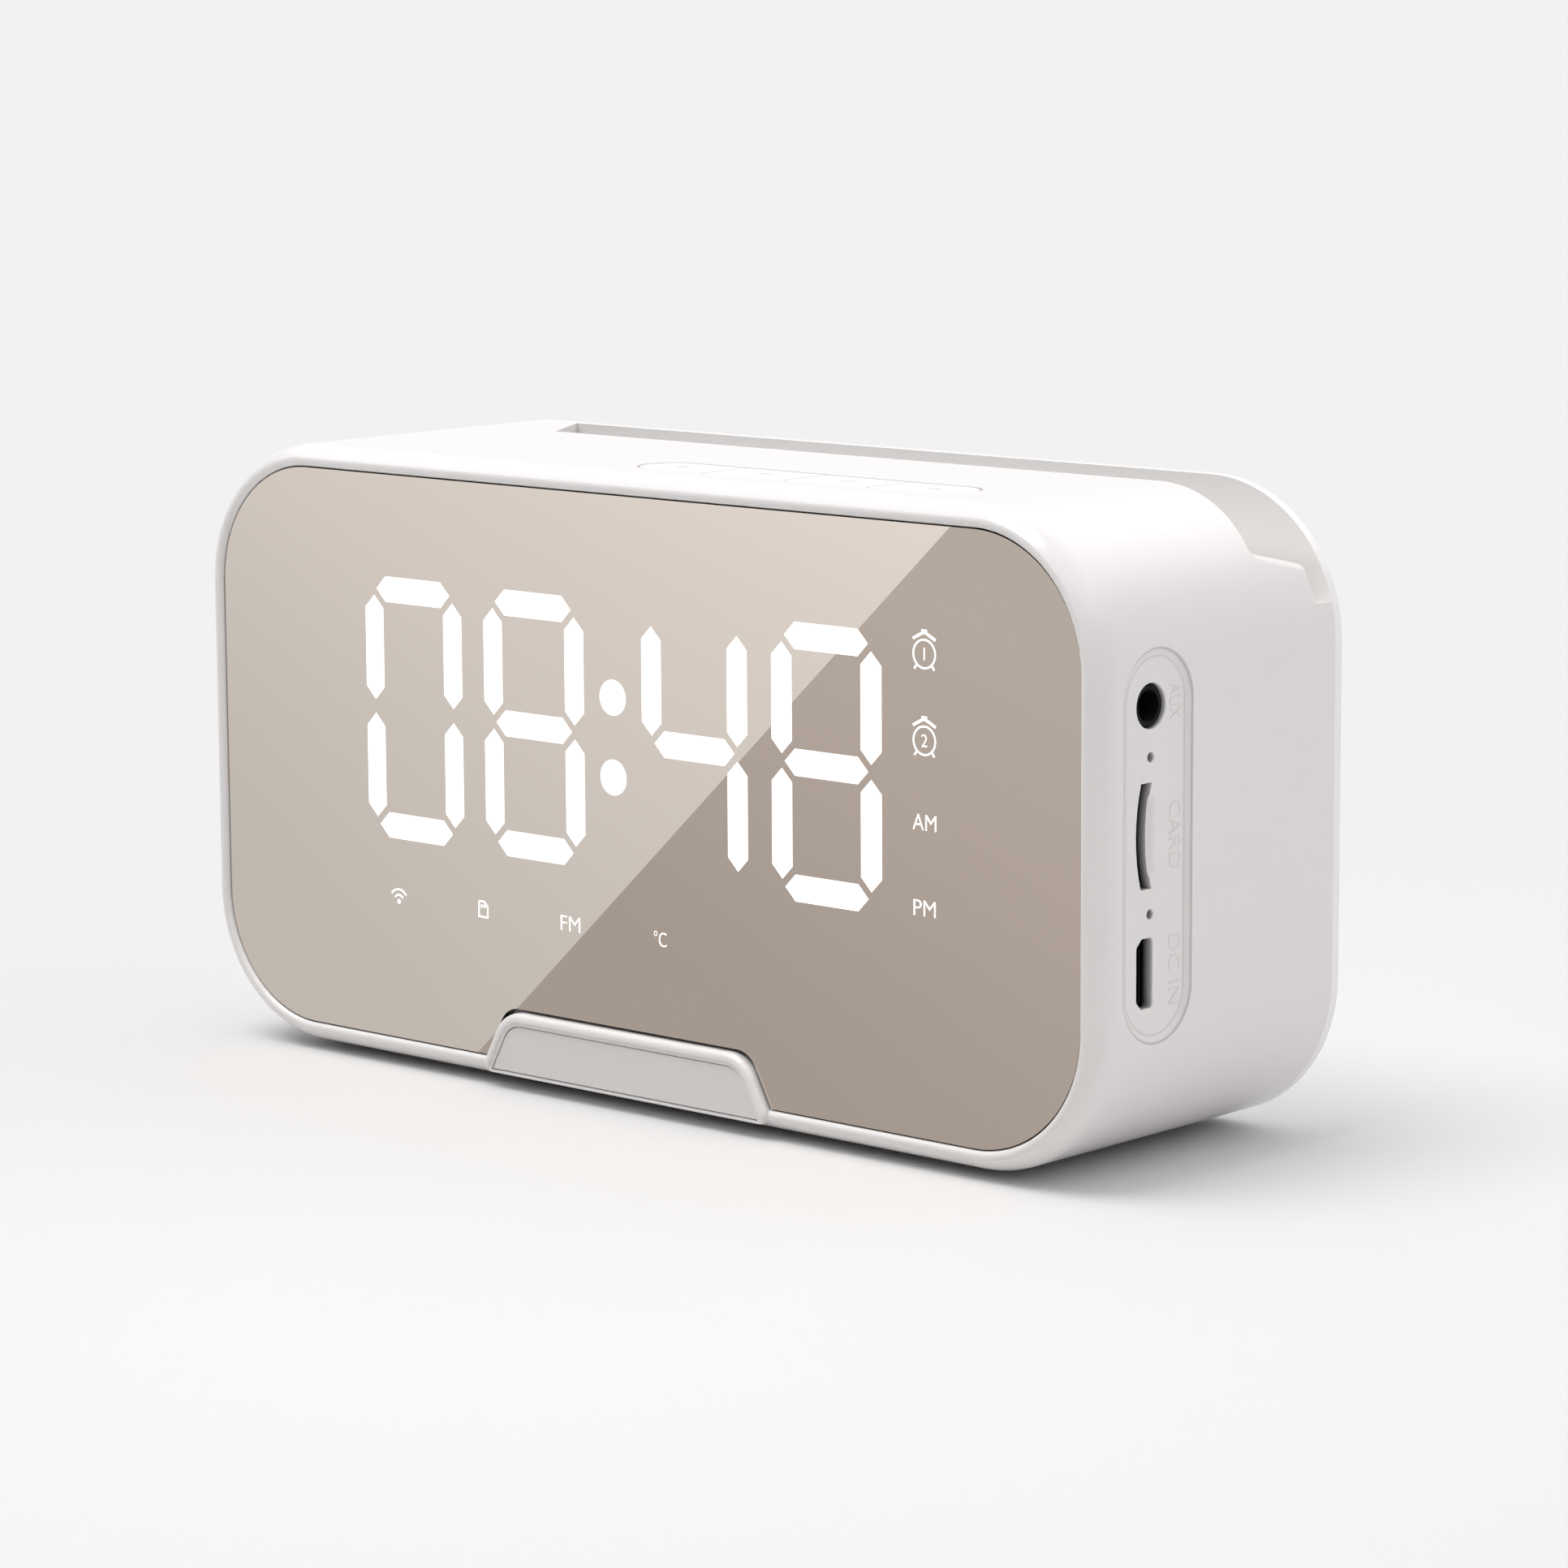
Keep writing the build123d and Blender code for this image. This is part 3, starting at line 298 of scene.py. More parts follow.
def stand_on_lens(piece, x, z, turn=0.0):
    """Turn a plate that lies face up to face the front, and set its back on the lens."""
    spin = Matrix.Rotation(turn, 4, "Z")
    rise = Matrix.Rotation(quarter_turn, 4, "X")
    piece.matrix_world = Matrix.Translation((x, lens_face_y, z)) @ rise @ spin
    return settle(piece)


# Shapes of the lit marks, each lying face up at the origin

def flat_segment(length):
    """A bar with pointed ends."""
    half = segment_width / 2
    bpy.ops.mesh.primitive_plane_add(size=1)
    bar = new_piece("segment")
    bar.scale = (length - segment_width, segment_width, 1)
    settle(bar)
    for end in (-1, 1):
        bpy.ops.object.mode_set(mode="EDIT")
        bpy.ops.mesh.select_all(action="DESELECT")
        bpy.ops.object.mode_set(mode="OBJECT")
        reach = max(end * corner.co.x for corner in bar.data.vertices)
        for corner in bar.data.vertices:
            corner.select = abs(end * corner.co.x - reach) < lit_edge
        bpy.ops.object.mode_set(mode="EDIT")
        bpy.ops.mesh.select_mode(type="VERT")
        bpy.ops.mesh.extrude_region_move(TRANSFORM_OT_translate={"value": (end * half, 0, 0)})
        bpy.ops.mesh.merge(type="CENTER")
        bpy.ops.object.mode_set(mode="OBJECT")
    return thicken(bar)


def flat_disc(radius):
    """A round dot."""
    bpy.ops.mesh.primitive_circle_add(vertices=dot_corners, radius=radius, fill_type="NGON")
    return thicken(new_piece("dot"))


def flat_ring(radius, line, keep_above=None):
    """A ring of the given line width, or only the arc of it above a height."""
    bpy.ops.mesh.primitive_circle_add(vertices=round_corners, radius=radius, fill_type="NGON")
    ring = new_piece("ring")
    bpy.ops.object.mode_set(mode="EDIT")
    bpy.ops.mesh.select_all(action="SELECT")
    bpy.ops.mesh.inset(thickness=line)
    bpy.ops.mesh.delete(type="FACE")
    if keep_above is not None:
        bpy.ops.mesh.select_all(action="SELECT")
        bpy.ops.mesh.bisect(plane_co=(0, keep_above, 0), plane_no=(0, 1, 0), clear_inner=True)
    bpy.ops.object.mode_set(mode="OBJECT")
    return thicken(ring)


def flat_bar(length, line, place=(0, 0), turn=0.0):
    """A straight stroke with its middle at a place."""
    bpy.ops.mesh.primitive_plane_add(size=1)
    bar = new_piece("stroke")
    bar.scale = (length, line, 1)
    settle(bar)
    bar.location = (*place, 0)
    bar.rotation_euler.z = turn
    return thicken(settle(bar))


def flat_triangle(size, place=(0, 0), turn=0.0):
    """A filled arrow head that points along X."""
    bpy.ops.mesh.primitive_circle_add(vertices=3, radius=size, fill_type="NGON")
    head = new_piece("arrow")
    head.rotation_euler.z = turn - quarter_turn
    head.location = (*place, 0)
    return thicken(settle(head))


def flat_words(words, height, width=None):
    """Plain letters, centred, as a mesh of the given height and, where it is given, width."""
    bpy.ops.object.text_add()
    letters = bpy.context.object
    letters.data.body = words
    letters.data.align_x = "CENTER"
    letters.data.align_y = "CENTER"
    letters.data.offset = letter_weight
    letters.data.extrude = lit_thickness / 2
    bpy.ops.object.convert(target="MESH")
    letters = new_piece("letters")
    rise = height / letters.dimensions.y
    spread = width / letters.dimensions.x if width else rise
    letters.scale = (spread, rise, 1)
    settle(letters)
    middle = sum((Vector(c) for c in letters.bound_box), Vector()) / 8
    letters.location = (-middle.x, -middle.y, lit_thickness / 2)
    return settle(letters)


def alarm_sign(numeral):
    """A round clock face with a roof-like bell, two feet and its number."""
    parts = [flat_ring(alarm_face_radius, stroke), flat_words(numeral, alarm_numeral_height)]
    foot_x, foot_y = alarm_foot_place
    roof_x, roof_y = alarm_roof_place
    for side in (-1, 1):
        parts.append(flat_bar(*alarm_foot, (side * foot_x, foot_y), side * alarm_foot_tilt))
        parts.append(flat_bar(*alarm_roof, (side * roof_x, roof_y), side * alarm_roof_tilt))
    parts.append(flat_bar(*alarm_knob, (0, alarm_knob_rise)))
    sign = join(parts, "alarm_sign")
    sign.location.y = -alarm_drop
    return settle(sign)


def radio_waves_sign():
    """A dot under two arcs, for sound sent by radio."""
    parts = [flat_disc(wave_dot_radius)]
    for radius in wave_radii:
        parts.append(flat_ring(radius, stroke, keep_above=radius * wave_cut))
    sign = join(parts, "radio_waves_sign")
    sign.location.y = -wave_drop
    return settle(sign)


def card_sign():
    """The outline of a memory card with one corner cut and three contacts."""
    width, height, cut = memory_card_width, memory_card_height, memory_card_cut
    side, top, slope = width / 2, height / 2, math.hypot(cut, cut)
    parts = [
        flat_bar(height, stroke, (-side, 0), quarter_turn),
        flat_bar(width + stroke, stroke, (0, -top)),
        flat_bar(height - cut, stroke, (side, -cut / 2), quarter_turn),
        flat_bar(width - cut, stroke, (-cut / 2, top)),
        flat_bar(slope + stroke / 2, stroke, (side - cut / 2, top - cut / 2), -quarter_turn / 2),
    ]
    for number in (-1, 0, 1):
        place = (number * memory_card_contact_pitch, memory_card_contact_rise)
        parts.append(flat_bar(*memory_card_contact, place, quarter_turn))
    return join(parts, "card_sign")


# Pieces

def lit_time():
    """The lit segments and the colon, on the face of the lens."""
    bar = flat_segment(digit_width - segment_width - 2 * bar_tip_gap)
    post = flat_segment((digit_height - segment_width) / 2 - 2 * post_tip_gap)
    across = (digit_width - segment_width) / 2
    rise = (digit_height - segment_width) / 2
    spots = {
        "a": (bar, 0, rise, 0.0), "g": (bar, 0, 0, 0.0), "d": (bar, 0, -rise, 0.0),
        "f": (post, -across, rise / 2, quarter_turn), "b": (post, across, rise / 2, quarter_turn),
        "e": (post, -across, -rise / 2, quarter_turn), "c": (post, across, -rise / 2, quarter_turn),
    }
    lit = []
    digit_x = display_left + digit_width / 2
    for number, digit in enumerate(time_shown):
        for letter in segments_of[digit]:
            shape, x, z, turn = spots[letter]
            piece = copy_of(shape, f"segment_{number}_{letter}")
            lit.append(stand_on_lens(piece, digit_x + x, display_z + z, turn))
        digit_x += digit_width + (digit_pair_gap if number == 1 else digit_gap)
    colon_x = display_left + 2 * digit_width + digit_gap + digit_pair_gap / 2
    dot = flat_disc(colon_radius)
    for half in (-1, 1):
        piece = copy_of(dot, f"colon_{half}")
        lit.append(stand_on_lens(piece, colon_x, display_z + half * colon_pitch / 2))
    for pattern in (bar, post, dot):
        bpy.data.objects.remove(pattern)
    return join(lit, "lit_time")


def lit_word(words):
    """One of the lit words, in its own width."""
    return flat_words(words, letter_height, letter_widths[words])


def lit_signs():
    """The lit words and signs beside and under the digits."""
    column_x = window_high.x + window_gap - indicator_half
    row_x = display_left + mode_inset
    row_z = window_low.z - window_gap + indicator_half
    column = [alarm_sign("1"), alarm_sign("2"), lit_word("AM"), lit_word("PM")]
    row = [radio_waves_sign(), card_sign(), lit_word("FM"), lit_word("°C")]
    lit = []
    for number, sign in enumerate(column):
        z = display_z + (column_middle - number) * indicator_pitch
        lit.append(stand_on_lens(sign, column_x, z))
    for number, sign in enumerate(row):
        lit.append(stand_on_lens(sign, row_x + number * mode_pitch, row_z))
    return join(lit, "lit_signs")


def key_mark(key, parts):
    """A small printed sign in the middle of a key's top."""
    low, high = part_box(key)
    mark = join(parts, f"{key}_mark")
    mark.scale.z = key_mark_thickness / lit_thickness
    mark.location = ((low.x + high.x) / 2, (low.y + high.y) / 2, high.z)
    return settle(mark)


def key_marks():
    """Plain signs: mode, previous, play or pause, and next."""
    size = key_mark_size

    def bar(share):
        return flat_bar(*(size * side for side in key_bar), (size * share, 0), quarter_turn)

    def arrow(share, turn=0.0):
        return flat_triangle(size * key_arrow, (size * share, 0), turn)

    ring = flat_ring(size / 2, size * key_ring_line)
    return {
        "key_mode": key_mark("key_mode", [ring, flat_disc(size * key_dot)]),
        "key_previous": key_mark("key_previous", [
            bar(-0.5), arrow(-0.08, half_turn), arrow(0.45, half_turn),
        ]),
        "key_play": key_mark("key_play", [arrow(-0.35), bar(0.2), bar(0.5)]),
        "key_next": key_mark("key_next", [arrow(-0.45), arrow(0.08), bar(0.5)]),
    }


def socket_labels():
    """Plain raised words beside the sockets, read from below upwards."""
    floor_x = housing_high.x - recess_depth
    labels = []
    for words, z in label_places.items():
        label = flat_words(words, label_height, label_widths[words])
        label.scale.z = label_lift / lit_thickness
        turn = Matrix(((0, 0, 1), (0, 1, 0), (-1, 0, 0))).to_4x4()
        label.matrix_world = Matrix.Translation((floor_x, label_y, z)) @ turn @ label.matrix_world
        labels.append(settle(label))
    return join(labels, "socket_labels")


def cover_screw_heads():
    """Pan heads with cross recesses, on the four screws of the rear cover."""
    low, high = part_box("cover_screws")
    seat_y = high.y - screw_head_height
    bpy.ops.mesh.primitive_cylinder_add(
        vertices=round_corners, radius=screw_head_radius, depth=screw_head_height)
    head = new_piece("screw_head")
    rim = head.modifiers.new("rim", "BEVEL")
    rim.width = screw_edge
    rim.segments = 3
    rim.limit_method = "ANGLE"
    bpy.ops.object.modifier_apply(modifier=rim.name)
    arms = []
    for turn in (0.0, quarter_turn):
        bpy.ops.mesh.primitive_cube_add(size=1, location=(0, 0, screw_head_height / 2))
        arm = new_piece("recess_arm")
        arm.scale = (cross_length, cross_width, 2 * cross_depth)
        arm.rotation_euler.z = turn
        arms.append(settle(arm))
    for arm in arms:
        pick(head)
        cut = head.modifiers.new("recess", "BOOLEAN")
        cut.object = arm
        cut.solver = "EXACT"
        bpy.ops.object.modifier_apply(modifier=cut.name)
        bpy.data.objects.remove(arm)
    heads = []
    places = [
        (side * (high.x - screw_head_radius), z)
        for side in (-1, 1)
        for z in (low.z + screw_head_radius, high.z - screw_head_radius)
    ]
    face_rear = Matrix.Rotation(-quarter_turn, 4, "X")
    for number, ((x, z), turn) in enumerate(zip(places, screw_turns)):
        twin = copy_of(head, f"screw_head_{number}")
        middle = Matrix.Translation((x, seat_y + screw_head_height / 2, z))
        twin.matrix_world = middle @ face_rear @ Matrix.Rotation(turn, 4, "Z")
        heads.append(settle(twin))
    bpy.data.objects.remove(head)
    piece = join(heads, "cover_screw_heads")
    pick(piece)
    bpy.ops.object.shade_smooth_by_angle(angle=screw_smooth_angle)
    return piece


# Nodes

def node(tree, kind, values=None, **settings):
    """A node with its settings, and the constants on its sockets."""
    made = tree.nodes.new(kind)
    for key, value in settings.items():
        setattr(made, key, value)
    for key, value in (values or {}).items():
        made.inputs[key].default_value = value
    return made


def wire(tree, *pairs):
    """Links from outputs to inputs."""
    for start, end in pairs:
        tree.links.new(start, end)


def grade(ramp, stops):
    """Set a ramp's stops, each a position and a colour."""
    ramp.elements.remove(ramp.elements[1])
    for number, (position, colour) in enumerate(stops):
        stop = ramp.elements.new(position) if number else ramp.elements[0]
        stop.position = position
        stop.color = (*colour, 1)


def new_material(name):
    """A material with nodes, its tree and its shader."""
    material = bpy.data.materials.new(name)
    material.use_nodes = True
    tree = material.node_tree
    return material, tree, tree.nodes["Principled BSDF"]


def axes(tree, source):
    """The parts of a vector along X, Y and Z."""
    parts = node(tree, "ShaderNodeSeparateXYZ")
    wire(tree, (source, parts.inputs["Vector"]))
    return parts.outputs


def own_axes(tree):
    """The place on the object, along X, Y and Z."""
    return axes(tree, node(tree, "ShaderNodeTexCoord").outputs["Object"])


# Node groups that several finishes share

def surface_group(name, inputs):
    """An empty group with these inputs that puts out a colour, a roughness and a height."""
    group = bpy.data.node_groups.new(name, "ShaderNodeTree")
    kinds = {float: "NodeSocketFloat", tuple: "NodeSocketColor", Vector: "NodeSocketVector"}
    for key, value in inputs.items():
        made = group.interface.new_socket(name=key, in_out="INPUT", socket_type=kinds[type(value)])
        made.default_value = value
    for key, kind in (("Colour", "Color"), ("Roughness", "Float"), ("Height", "Float")):
        group.interface.new_socket(name=key, in_out="OUTPUT", socket_type=f"NodeSocket{kind}")
    return group, node(group, "NodeGroupInput"), node(group, "NodeGroupOutput")


def shaded(group, colour, pattern, share):
    """A colour darkened by up to a share where the pattern is low."""
    lowest = node(group, "ShaderNodeMath", {0: 1.0}, operation="SUBTRACT")
    shade = node(group, "ShaderNodeMapRange")
    tint = node(group, "ShaderNodeMix", {"Factor": 1.0}, data_type="RGBA", blend_type="MULTIPLY")
    wire(group, (share, lowest.inputs[1]), (pattern, shade.inputs["Value"]),
         (lowest.outputs["Value"], shade.inputs["To Min"]),
         (colour, tint.inputs["A"]), (shade.outputs["Result"], tint.inputs["B"]))
    return tint.outputs["Result"]


def close_group(group, inside, outside, tone, share, spread, height):
    """Put out the colour shaded by the tone, the roughness raised by the spread, and the height."""
    colour = shaded(group, inside.outputs["Colour"], tone, inside.outputs[share])
    rough = node(group, "ShaderNodeMath", operation="MULTIPLY_ADD")
    wire(group, (spread, rough.inputs[0]), (inside.outputs["Spread"], rough.inputs[1]),
         (inside.outputs["Roughness"], rough.inputs[2]), (colour, outside.inputs["Colour"]),
         (rough.outputs["Value"], outside.inputs["Roughness"]), (height, outside.inputs["Height"]))
    return group


def moulded_surface():
    """Grain and faint clouding of a moulded or cast surface."""
    group, inside, outside = surface_group("moulded_surface", {
        "Colour": (0.8, 0.8, 0.8, 1.0), "Clouding": 0.04, "Roughness": 0.4, "Spread": 0.06,
        "Grain": 3000.0,
    })
    place = node(group, "ShaderNodeTexCoord").outputs["Object"]
    grain = node(group, "ShaderNodeTexNoise", {"Detail": 3.0})
    cloud = node(group, "ShaderNodeTexNoise", {"Scale": 38.0, "Detail": 2.0})
    middle = node(group, "ShaderNodeMath", {1: 0.5}, operation="SUBTRACT")
    wire(group, (place, grain.inputs["Vector"]), (place, cloud.inputs["Vector"]),
         (inside.outputs["Grain"], grain.inputs["Scale"]), (grain.outputs["Fac"], middle.inputs[0]))
    return close_group(group, inside, outside, cloud.outputs["Fac"], "Clouding",
                       middle.outputs["Value"], grain.outputs["Fac"])


def drawn_metal():
    """Fine lines that run along one way, as rolling or brushing leaves them."""
    group, inside, outside = surface_group("drawn_metal", {
        "Colour": (0.6, 0.6, 0.6, 1.0), "Line Shade": 0.12, "Roughness": 0.3, "Spread": 0.12,
        "Line Stretch": Vector((0.03, 1.0, 1.0)),
    })
    place = node(group, "ShaderNodeTexCoord").outputs["Object"]
    stretch = node(group, "ShaderNodeVectorMath", operation="MULTIPLY")
    lines = node(group, "ShaderNodeTexNoise", {"Scale": 6000.0, "Detail": 4.0})
    wire(group, (place, stretch.inputs[0]), (inside.outputs["Line Stretch"], stretch.inputs[1]),
         (stretch.outputs["Vector"], lines.inputs["Vector"]))
    pattern = lines.outputs["Fac"]
    return close_group(group, inside, outside, pattern, "Line Shade", pattern, pattern)


def open_cells():
    """Small round cells, as in foam, paper pulp or rubber."""
    group, inside, outside = surface_group("open_cells", {
        "Colour": (0.1, 0.1, 0.1, 1.0), "Cell Shade": 0.4, "Roughness": 0.85, "Spread": 0.1,
        "Cells": 1500.0,
    })
    place = node(group, "ShaderNodeTexCoord").outputs["Object"]
    cells = node(group, "ShaderNodeTexVoronoi")
    wire(group, (place, cells.inputs["Vector"]), (inside.outputs["Cells"], cells.inputs["Scale"]))
    pattern = cells.outputs["Distance"]
    return close_group(group, inside, outside, pattern, "Cell Shade", pattern, pattern)


# Finishes

def finish_with(name, group, values, metallic=0.0, coat=0.0, bump=0.1, specular=0.5):
    """A material whose colour, roughness and bump come from a shared group."""
    material, tree, shader = new_material(name)
    shader.inputs["Metallic"].default_value = metallic
    shader.inputs["Specular IOR Level"].default_value = specular
    shader.inputs["Coat Weight"].default_value = coat
    shader.inputs["Coat Roughness"].default_value = coat_roughness
    surface = node(tree, "ShaderNodeGroup", node_tree=group)
    for key, value in values.items():
        surface.inputs[key].default_value = value
    relief = node(tree, "ShaderNodeBump", {"Strength": bump, "Distance": relief_depth})
    wire(tree, (surface.outputs["Colour"], shader.inputs["Base Color"]),
         (surface.outputs["Roughness"], shader.inputs["Roughness"]),
         (surface.outputs["Height"], relief.inputs["Height"]),
         (relief.outputs["Normal"], shader.inputs["Normal"]))
    return material


def plastic(name, colour, roughness, clouding=0.03, grain=3000.0, coat=0.0, bump=0.1, specular=0.5):
    """Moulded plastic, rubber or paint."""
    return finish_with(name, moulded, {
        "Colour": (*colour, 1), "Clouding": clouding, "Roughness": roughness,
        "Spread": moulded_spread, "Grain": grain,
    }, coat=coat, bump=bump, specular=specular)


def metal(name, colour, roughness, line_shade=0.12, spread=0.12, stretch=(0.03, 1.0, 1.0),
          bump=0.08):
    """Bare metal with the lines of its making."""
    return finish_with(name, drawn, {
        "Colour": (*colour, 1), "Line Shade": line_shade, "Roughness": roughness, "Spread": spread,
        "Line Stretch": stretch,
    }, metallic=1.0, bump=bump)


def cellular(name, colour, roughness, cells, cell_shade=0.4, bump=0.5):
    """Foam, pulp or cellular rubber."""
    return finish_with(name, celled, {
        "Colour": (*colour, 1), "Cell Shade": cell_shade, "Roughness": roughness, "Cells": cells,
    }, bump=bump)


def patch(material, mask, colour, metallic=None):
    """Another colour and, where it is given, metallic value where the mask is one."""
    tree = material.node_tree
    shader = tree.nodes["Principled BSDF"]
    under = shader.inputs["Base Color"].links[0].from_socket
    blend = node(tree, "ShaderNodeMix", {"B": (*colour, 1)}, data_type="RGBA")
    wire(tree, (mask, blend.inputs["Factor"]), (under, blend.inputs["A"]),
         (blend.outputs["Result"], shader.inputs["Base Color"]))
    if metallic is not None:
        level = node(tree, "ShaderNodeMapRange", {
            "To Min": shader.inputs["Metallic"].default_value, "To Max": metallic,
        })
        wire(tree, (mask, level.inputs["Value"]),
             (level.outputs["Result"], shader.inputs["Metallic"]))


def housing_white():
    """White moulded shell, with painted shade in the depth of the socket holes and painted shadow
    lines round their recess.
    """
    material = plastic("housing_white", shell_white, 0.32, clouding=0.015, coat=0.4, bump=0.04)
    tree = material.node_tree
    place = own_axes(tree)
    mouth = housing_high.x - recess_depth
    depth = node(tree, "ShaderNodeMapRange", {
        "From Min": mouth - hole_shade_start, "From Max": mouth - hole_shade_end,
    })
    wire(tree, (place["X"], depth.inputs["Value"]))
    shade = depth.outputs["Result"]
    for axis, (middle, half) in socket_holes.items():
        within = node(tree, "ShaderNodeMath", {1: middle, 2: half}, operation="COMPARE")
        both = node(tree, "ShaderNodeMath", operation="MULTIPLY")
        wire(tree, (place[axis], within.inputs[0]), (shade, both.inputs[0]),
             (within.outputs["Value"], both.inputs[1]))
        shade = both.outputs["Value"]
    # Painted shade: the colour darkens with depth inside the socket holes
    patch(material, shade, hole_painted_shade)
    # Painted shadow lines along the edges of the recess
    patch(material, recess_shadow_lines(tree, place), recess_shadow_grey)
    return material


def recess_shadow_lines(tree, place):
    """Mask of the painted soft shadow lines along both edges of the stadium recess in the side."""
    middle_y, middle_z = recess_middle
    along = node(tree, "ShaderNodeMath", {1: middle_z}, operation="SUBTRACT")
    away = node(tree, "ShaderNodeMath", operation="ABSOLUTE")
    past = node(tree, "ShaderNodeMath", {1: recess_straight}, operation="SUBTRACT")
    end = node(tree, "ShaderNodeMath", {1: 0.0}, operation="MAXIMUM")
    across = node(tree, "ShaderNodeMath", {1: middle_y}, operation="SUBTRACT")
    offset = node(tree, "ShaderNodeCombineXYZ")
    reach = node(tree, "ShaderNodeVectorMath", operation="LENGTH")
    spot = node(tree, "ShaderNodeMapRange", {
        "From Min": recess_radius - recess_line_inside,
        "From Max": recess_radius + recess_line_outside,
    })
    lines = node(tree, "ShaderNodeValToRGB")
    grade(lines.color_ramp, [(spot_at, (value,) * 3) for spot_at, value in recess_line_stops])
    side = node(tree, "ShaderNodeMath", {1: housing_high.x - recess_line_depth},
                operation="GREATER_THAN")
    mask = node(tree, "ShaderNodeMath", operation="MULTIPLY")
    wire(tree, (place["Z"], along.inputs[0]), (along.outputs["Value"], away.inputs[0]),
         (away.outputs["Value"], past.inputs[0]), (past.outputs["Value"], end.inputs[0]),
         (place["Y"], across.inputs[0]), (across.outputs["Value"], offset.inputs["X"]),
         (end.outputs["Value"], offset.inputs["Y"]), (offset.outputs["Vector"], reach.inputs[0]),
         (reach.outputs["Value"], spot.inputs["Value"]),
         (spot.outputs["Result"], lines.inputs["Fac"]), (place["X"], side.inputs[0]),
         (lines.outputs["Color"], mask.inputs[0]), (side.outputs["Value"], mask.inputs[1]))
    return mask.outputs["Value"]


def mirror_tint():
    """Warm half mirror, with painted shade making its cut edges black."""
    material = metal("mirror_tint", (0.665, 0.597, 0.539), 0.0, line_shade=0.01, spread=0.008,
                     stretch=mirror_stretch, bump=0.0)
    tree = material.node_tree
    facing = axes(tree, node(tree, "ShaderNodeNewGeometry").outputs["Normal"])
    edge = node(tree, "ShaderNodeMapRange", {
        "From Min": lens_face_turn, "From Max": lens_edge_turn,
    })
    wire(tree, (facing["Y"], edge.inputs["Value"]))
    # Painted shade: black on the cut edges, so the gap round the lens reads dark
    patch(material, edge.outputs["Result"], (0.02, 0.018, 0.016), 0.0)
    return material


def socket_steel():
    """Stamped steel, painted black as shade at the mouth that shows in the side wall."""
    material = metal("socket_steel", (0.55, 0.55, 0.56), 0.28)
    tree = material.node_tree
    mouth = node(tree, "ShaderNodeMapRange", {
        "From Min": socket_mouth_start, "From Max": socket_mouth_end,
    })
    wire(tree, (own_axes(tree)["X"], mouth.inputs["Value"]))
    # Painted shade: black where the socket's mouth shows through the hole in the side wall
    patch(material, mouth.outputs["Result"], (0.008, 0.008, 0.008), 0.0)
    return material


def board_green():
    """Solder mask over copper tracks, with tinned pads."""
    material = plastic("board_green", (0.02, 0.13, 0.06), 0.3, clouding=0.2, grain=900.0, coat=0.4)
    tree = material.node_tree
    place = node(tree, "ShaderNodeTexCoord").outputs["Object"]
    tracks = node(tree, "ShaderNodeTexBrick", {
        "Scale": 90.0, "Mortar Size": 0.02, "Brick Width": 0.8, "Row Height": 0.13,
    })
    pads = node(tree, "ShaderNodeTexVoronoi", {"Scale": 330.0})
    dots = node(tree, "ShaderNodeMapRange", {"From Min": 0.2, "From Max": 0.17})
    turn = node(tree, "ShaderNodeMapping", {"Rotation": (quarter_turn, 0, 0)})
    wire(tree, (place, turn.inputs["Vector"]), (turn.outputs["Vector"], tracks.inputs["Vector"]),
         (place, pads.inputs["Vector"]), (pads.outputs["Distance"], dots.inputs["Value"]))
    patch(material, tracks.outputs["Fac"], (0.05, 0.26, 0.12))
    patch(material, dots.outputs["Result"], (0.72, 0.66, 0.5), 1.0)
    return material


def lit_white():
    """Light that comes through the half mirror."""
    material = plastic("lit_white", (1.0, 1.0, 1.0), 0.5, clouding=0.02)
    tree = material.node_tree
    shader = tree.nodes["Principled BSDF"]
    colour = shader.inputs["Base Color"].links[0].from_socket
    wire(tree, (colour, shader.inputs["Emission Color"]))
    shader.inputs["Emission Strength"].default_value = lit_strength
    return material


# Stage

def light_only_for_gloss(name, stops):
    """Card light that shows in reflections alone, graded along the table."""
    material, tree, shader = new_material(name)
    tree.nodes.remove(shader)
    place = node(tree, "ShaderNodeTexCoord")
    along = node(tree, "ShaderNodeVectorMath", {1: card_slope}, operation="DOT_PRODUCT")
    steps = node(tree, "ShaderNodeValToRGB")
    grade(steps.color_ramp, stops)
    glow = node(tree, "ShaderNodeEmission")
    clear = node(tree, "ShaderNodeBsdfTransparent")
    path = node(tree, "ShaderNodeLightPath")
    choice = node(tree, "ShaderNodeMixShader")
    wire(tree, (place.outputs["Object"], along.inputs[0]),
         (along.outputs["Value"], steps.inputs["Fac"]),
         (steps.outputs["Color"], glow.inputs["Color"]),
         (path.outputs["Is Glossy Ray"], choice.inputs["Fac"]),
         (clear.outputs["BSDF"], choice.inputs[1]), (glow.outputs["Emission"], choice.inputs[2]),
         (choice.outputs["Shader"], tree.nodes["Material Output"].inputs["Surface"]))
    return material


def photo_camera():
    """Camera at the place from which the photograph was taken."""
    back = Vector((
        math.sin(camera_azimuth) * math.cos(camera_elevation),
        -math.cos(camera_azimuth) * math.cos(camera_elevation),
        math.sin(camera_elevation),
    ))
    right = Vector((math.cos(camera_azimuth), math.sin(camera_azimuth), 0))
    up = back.cross(right)
    side = right * math.cos(camera_roll) + up * math.sin(camera_roll)
    top = up * math.cos(camera_roll) - right * math.sin(camera_roll)
    bpy.ops.object.camera_add()
    camera = bpy.context.object
    camera.name = "photo_camera"
    turn = Matrix((side, top, back)).transposed().to_4x4()
    camera.matrix_world = Matrix.Translation(camera_target + back * camera_distance) @ turn
    camera.data.sensor_width = sensor_width
    camera.data.lens = sensor_width * focal_pixels / photo_pixels
    camera.data.clip_start = camera_near
    camera.data.clip_end = camera_far
    bpy.context.scene.camera = camera
    return camera


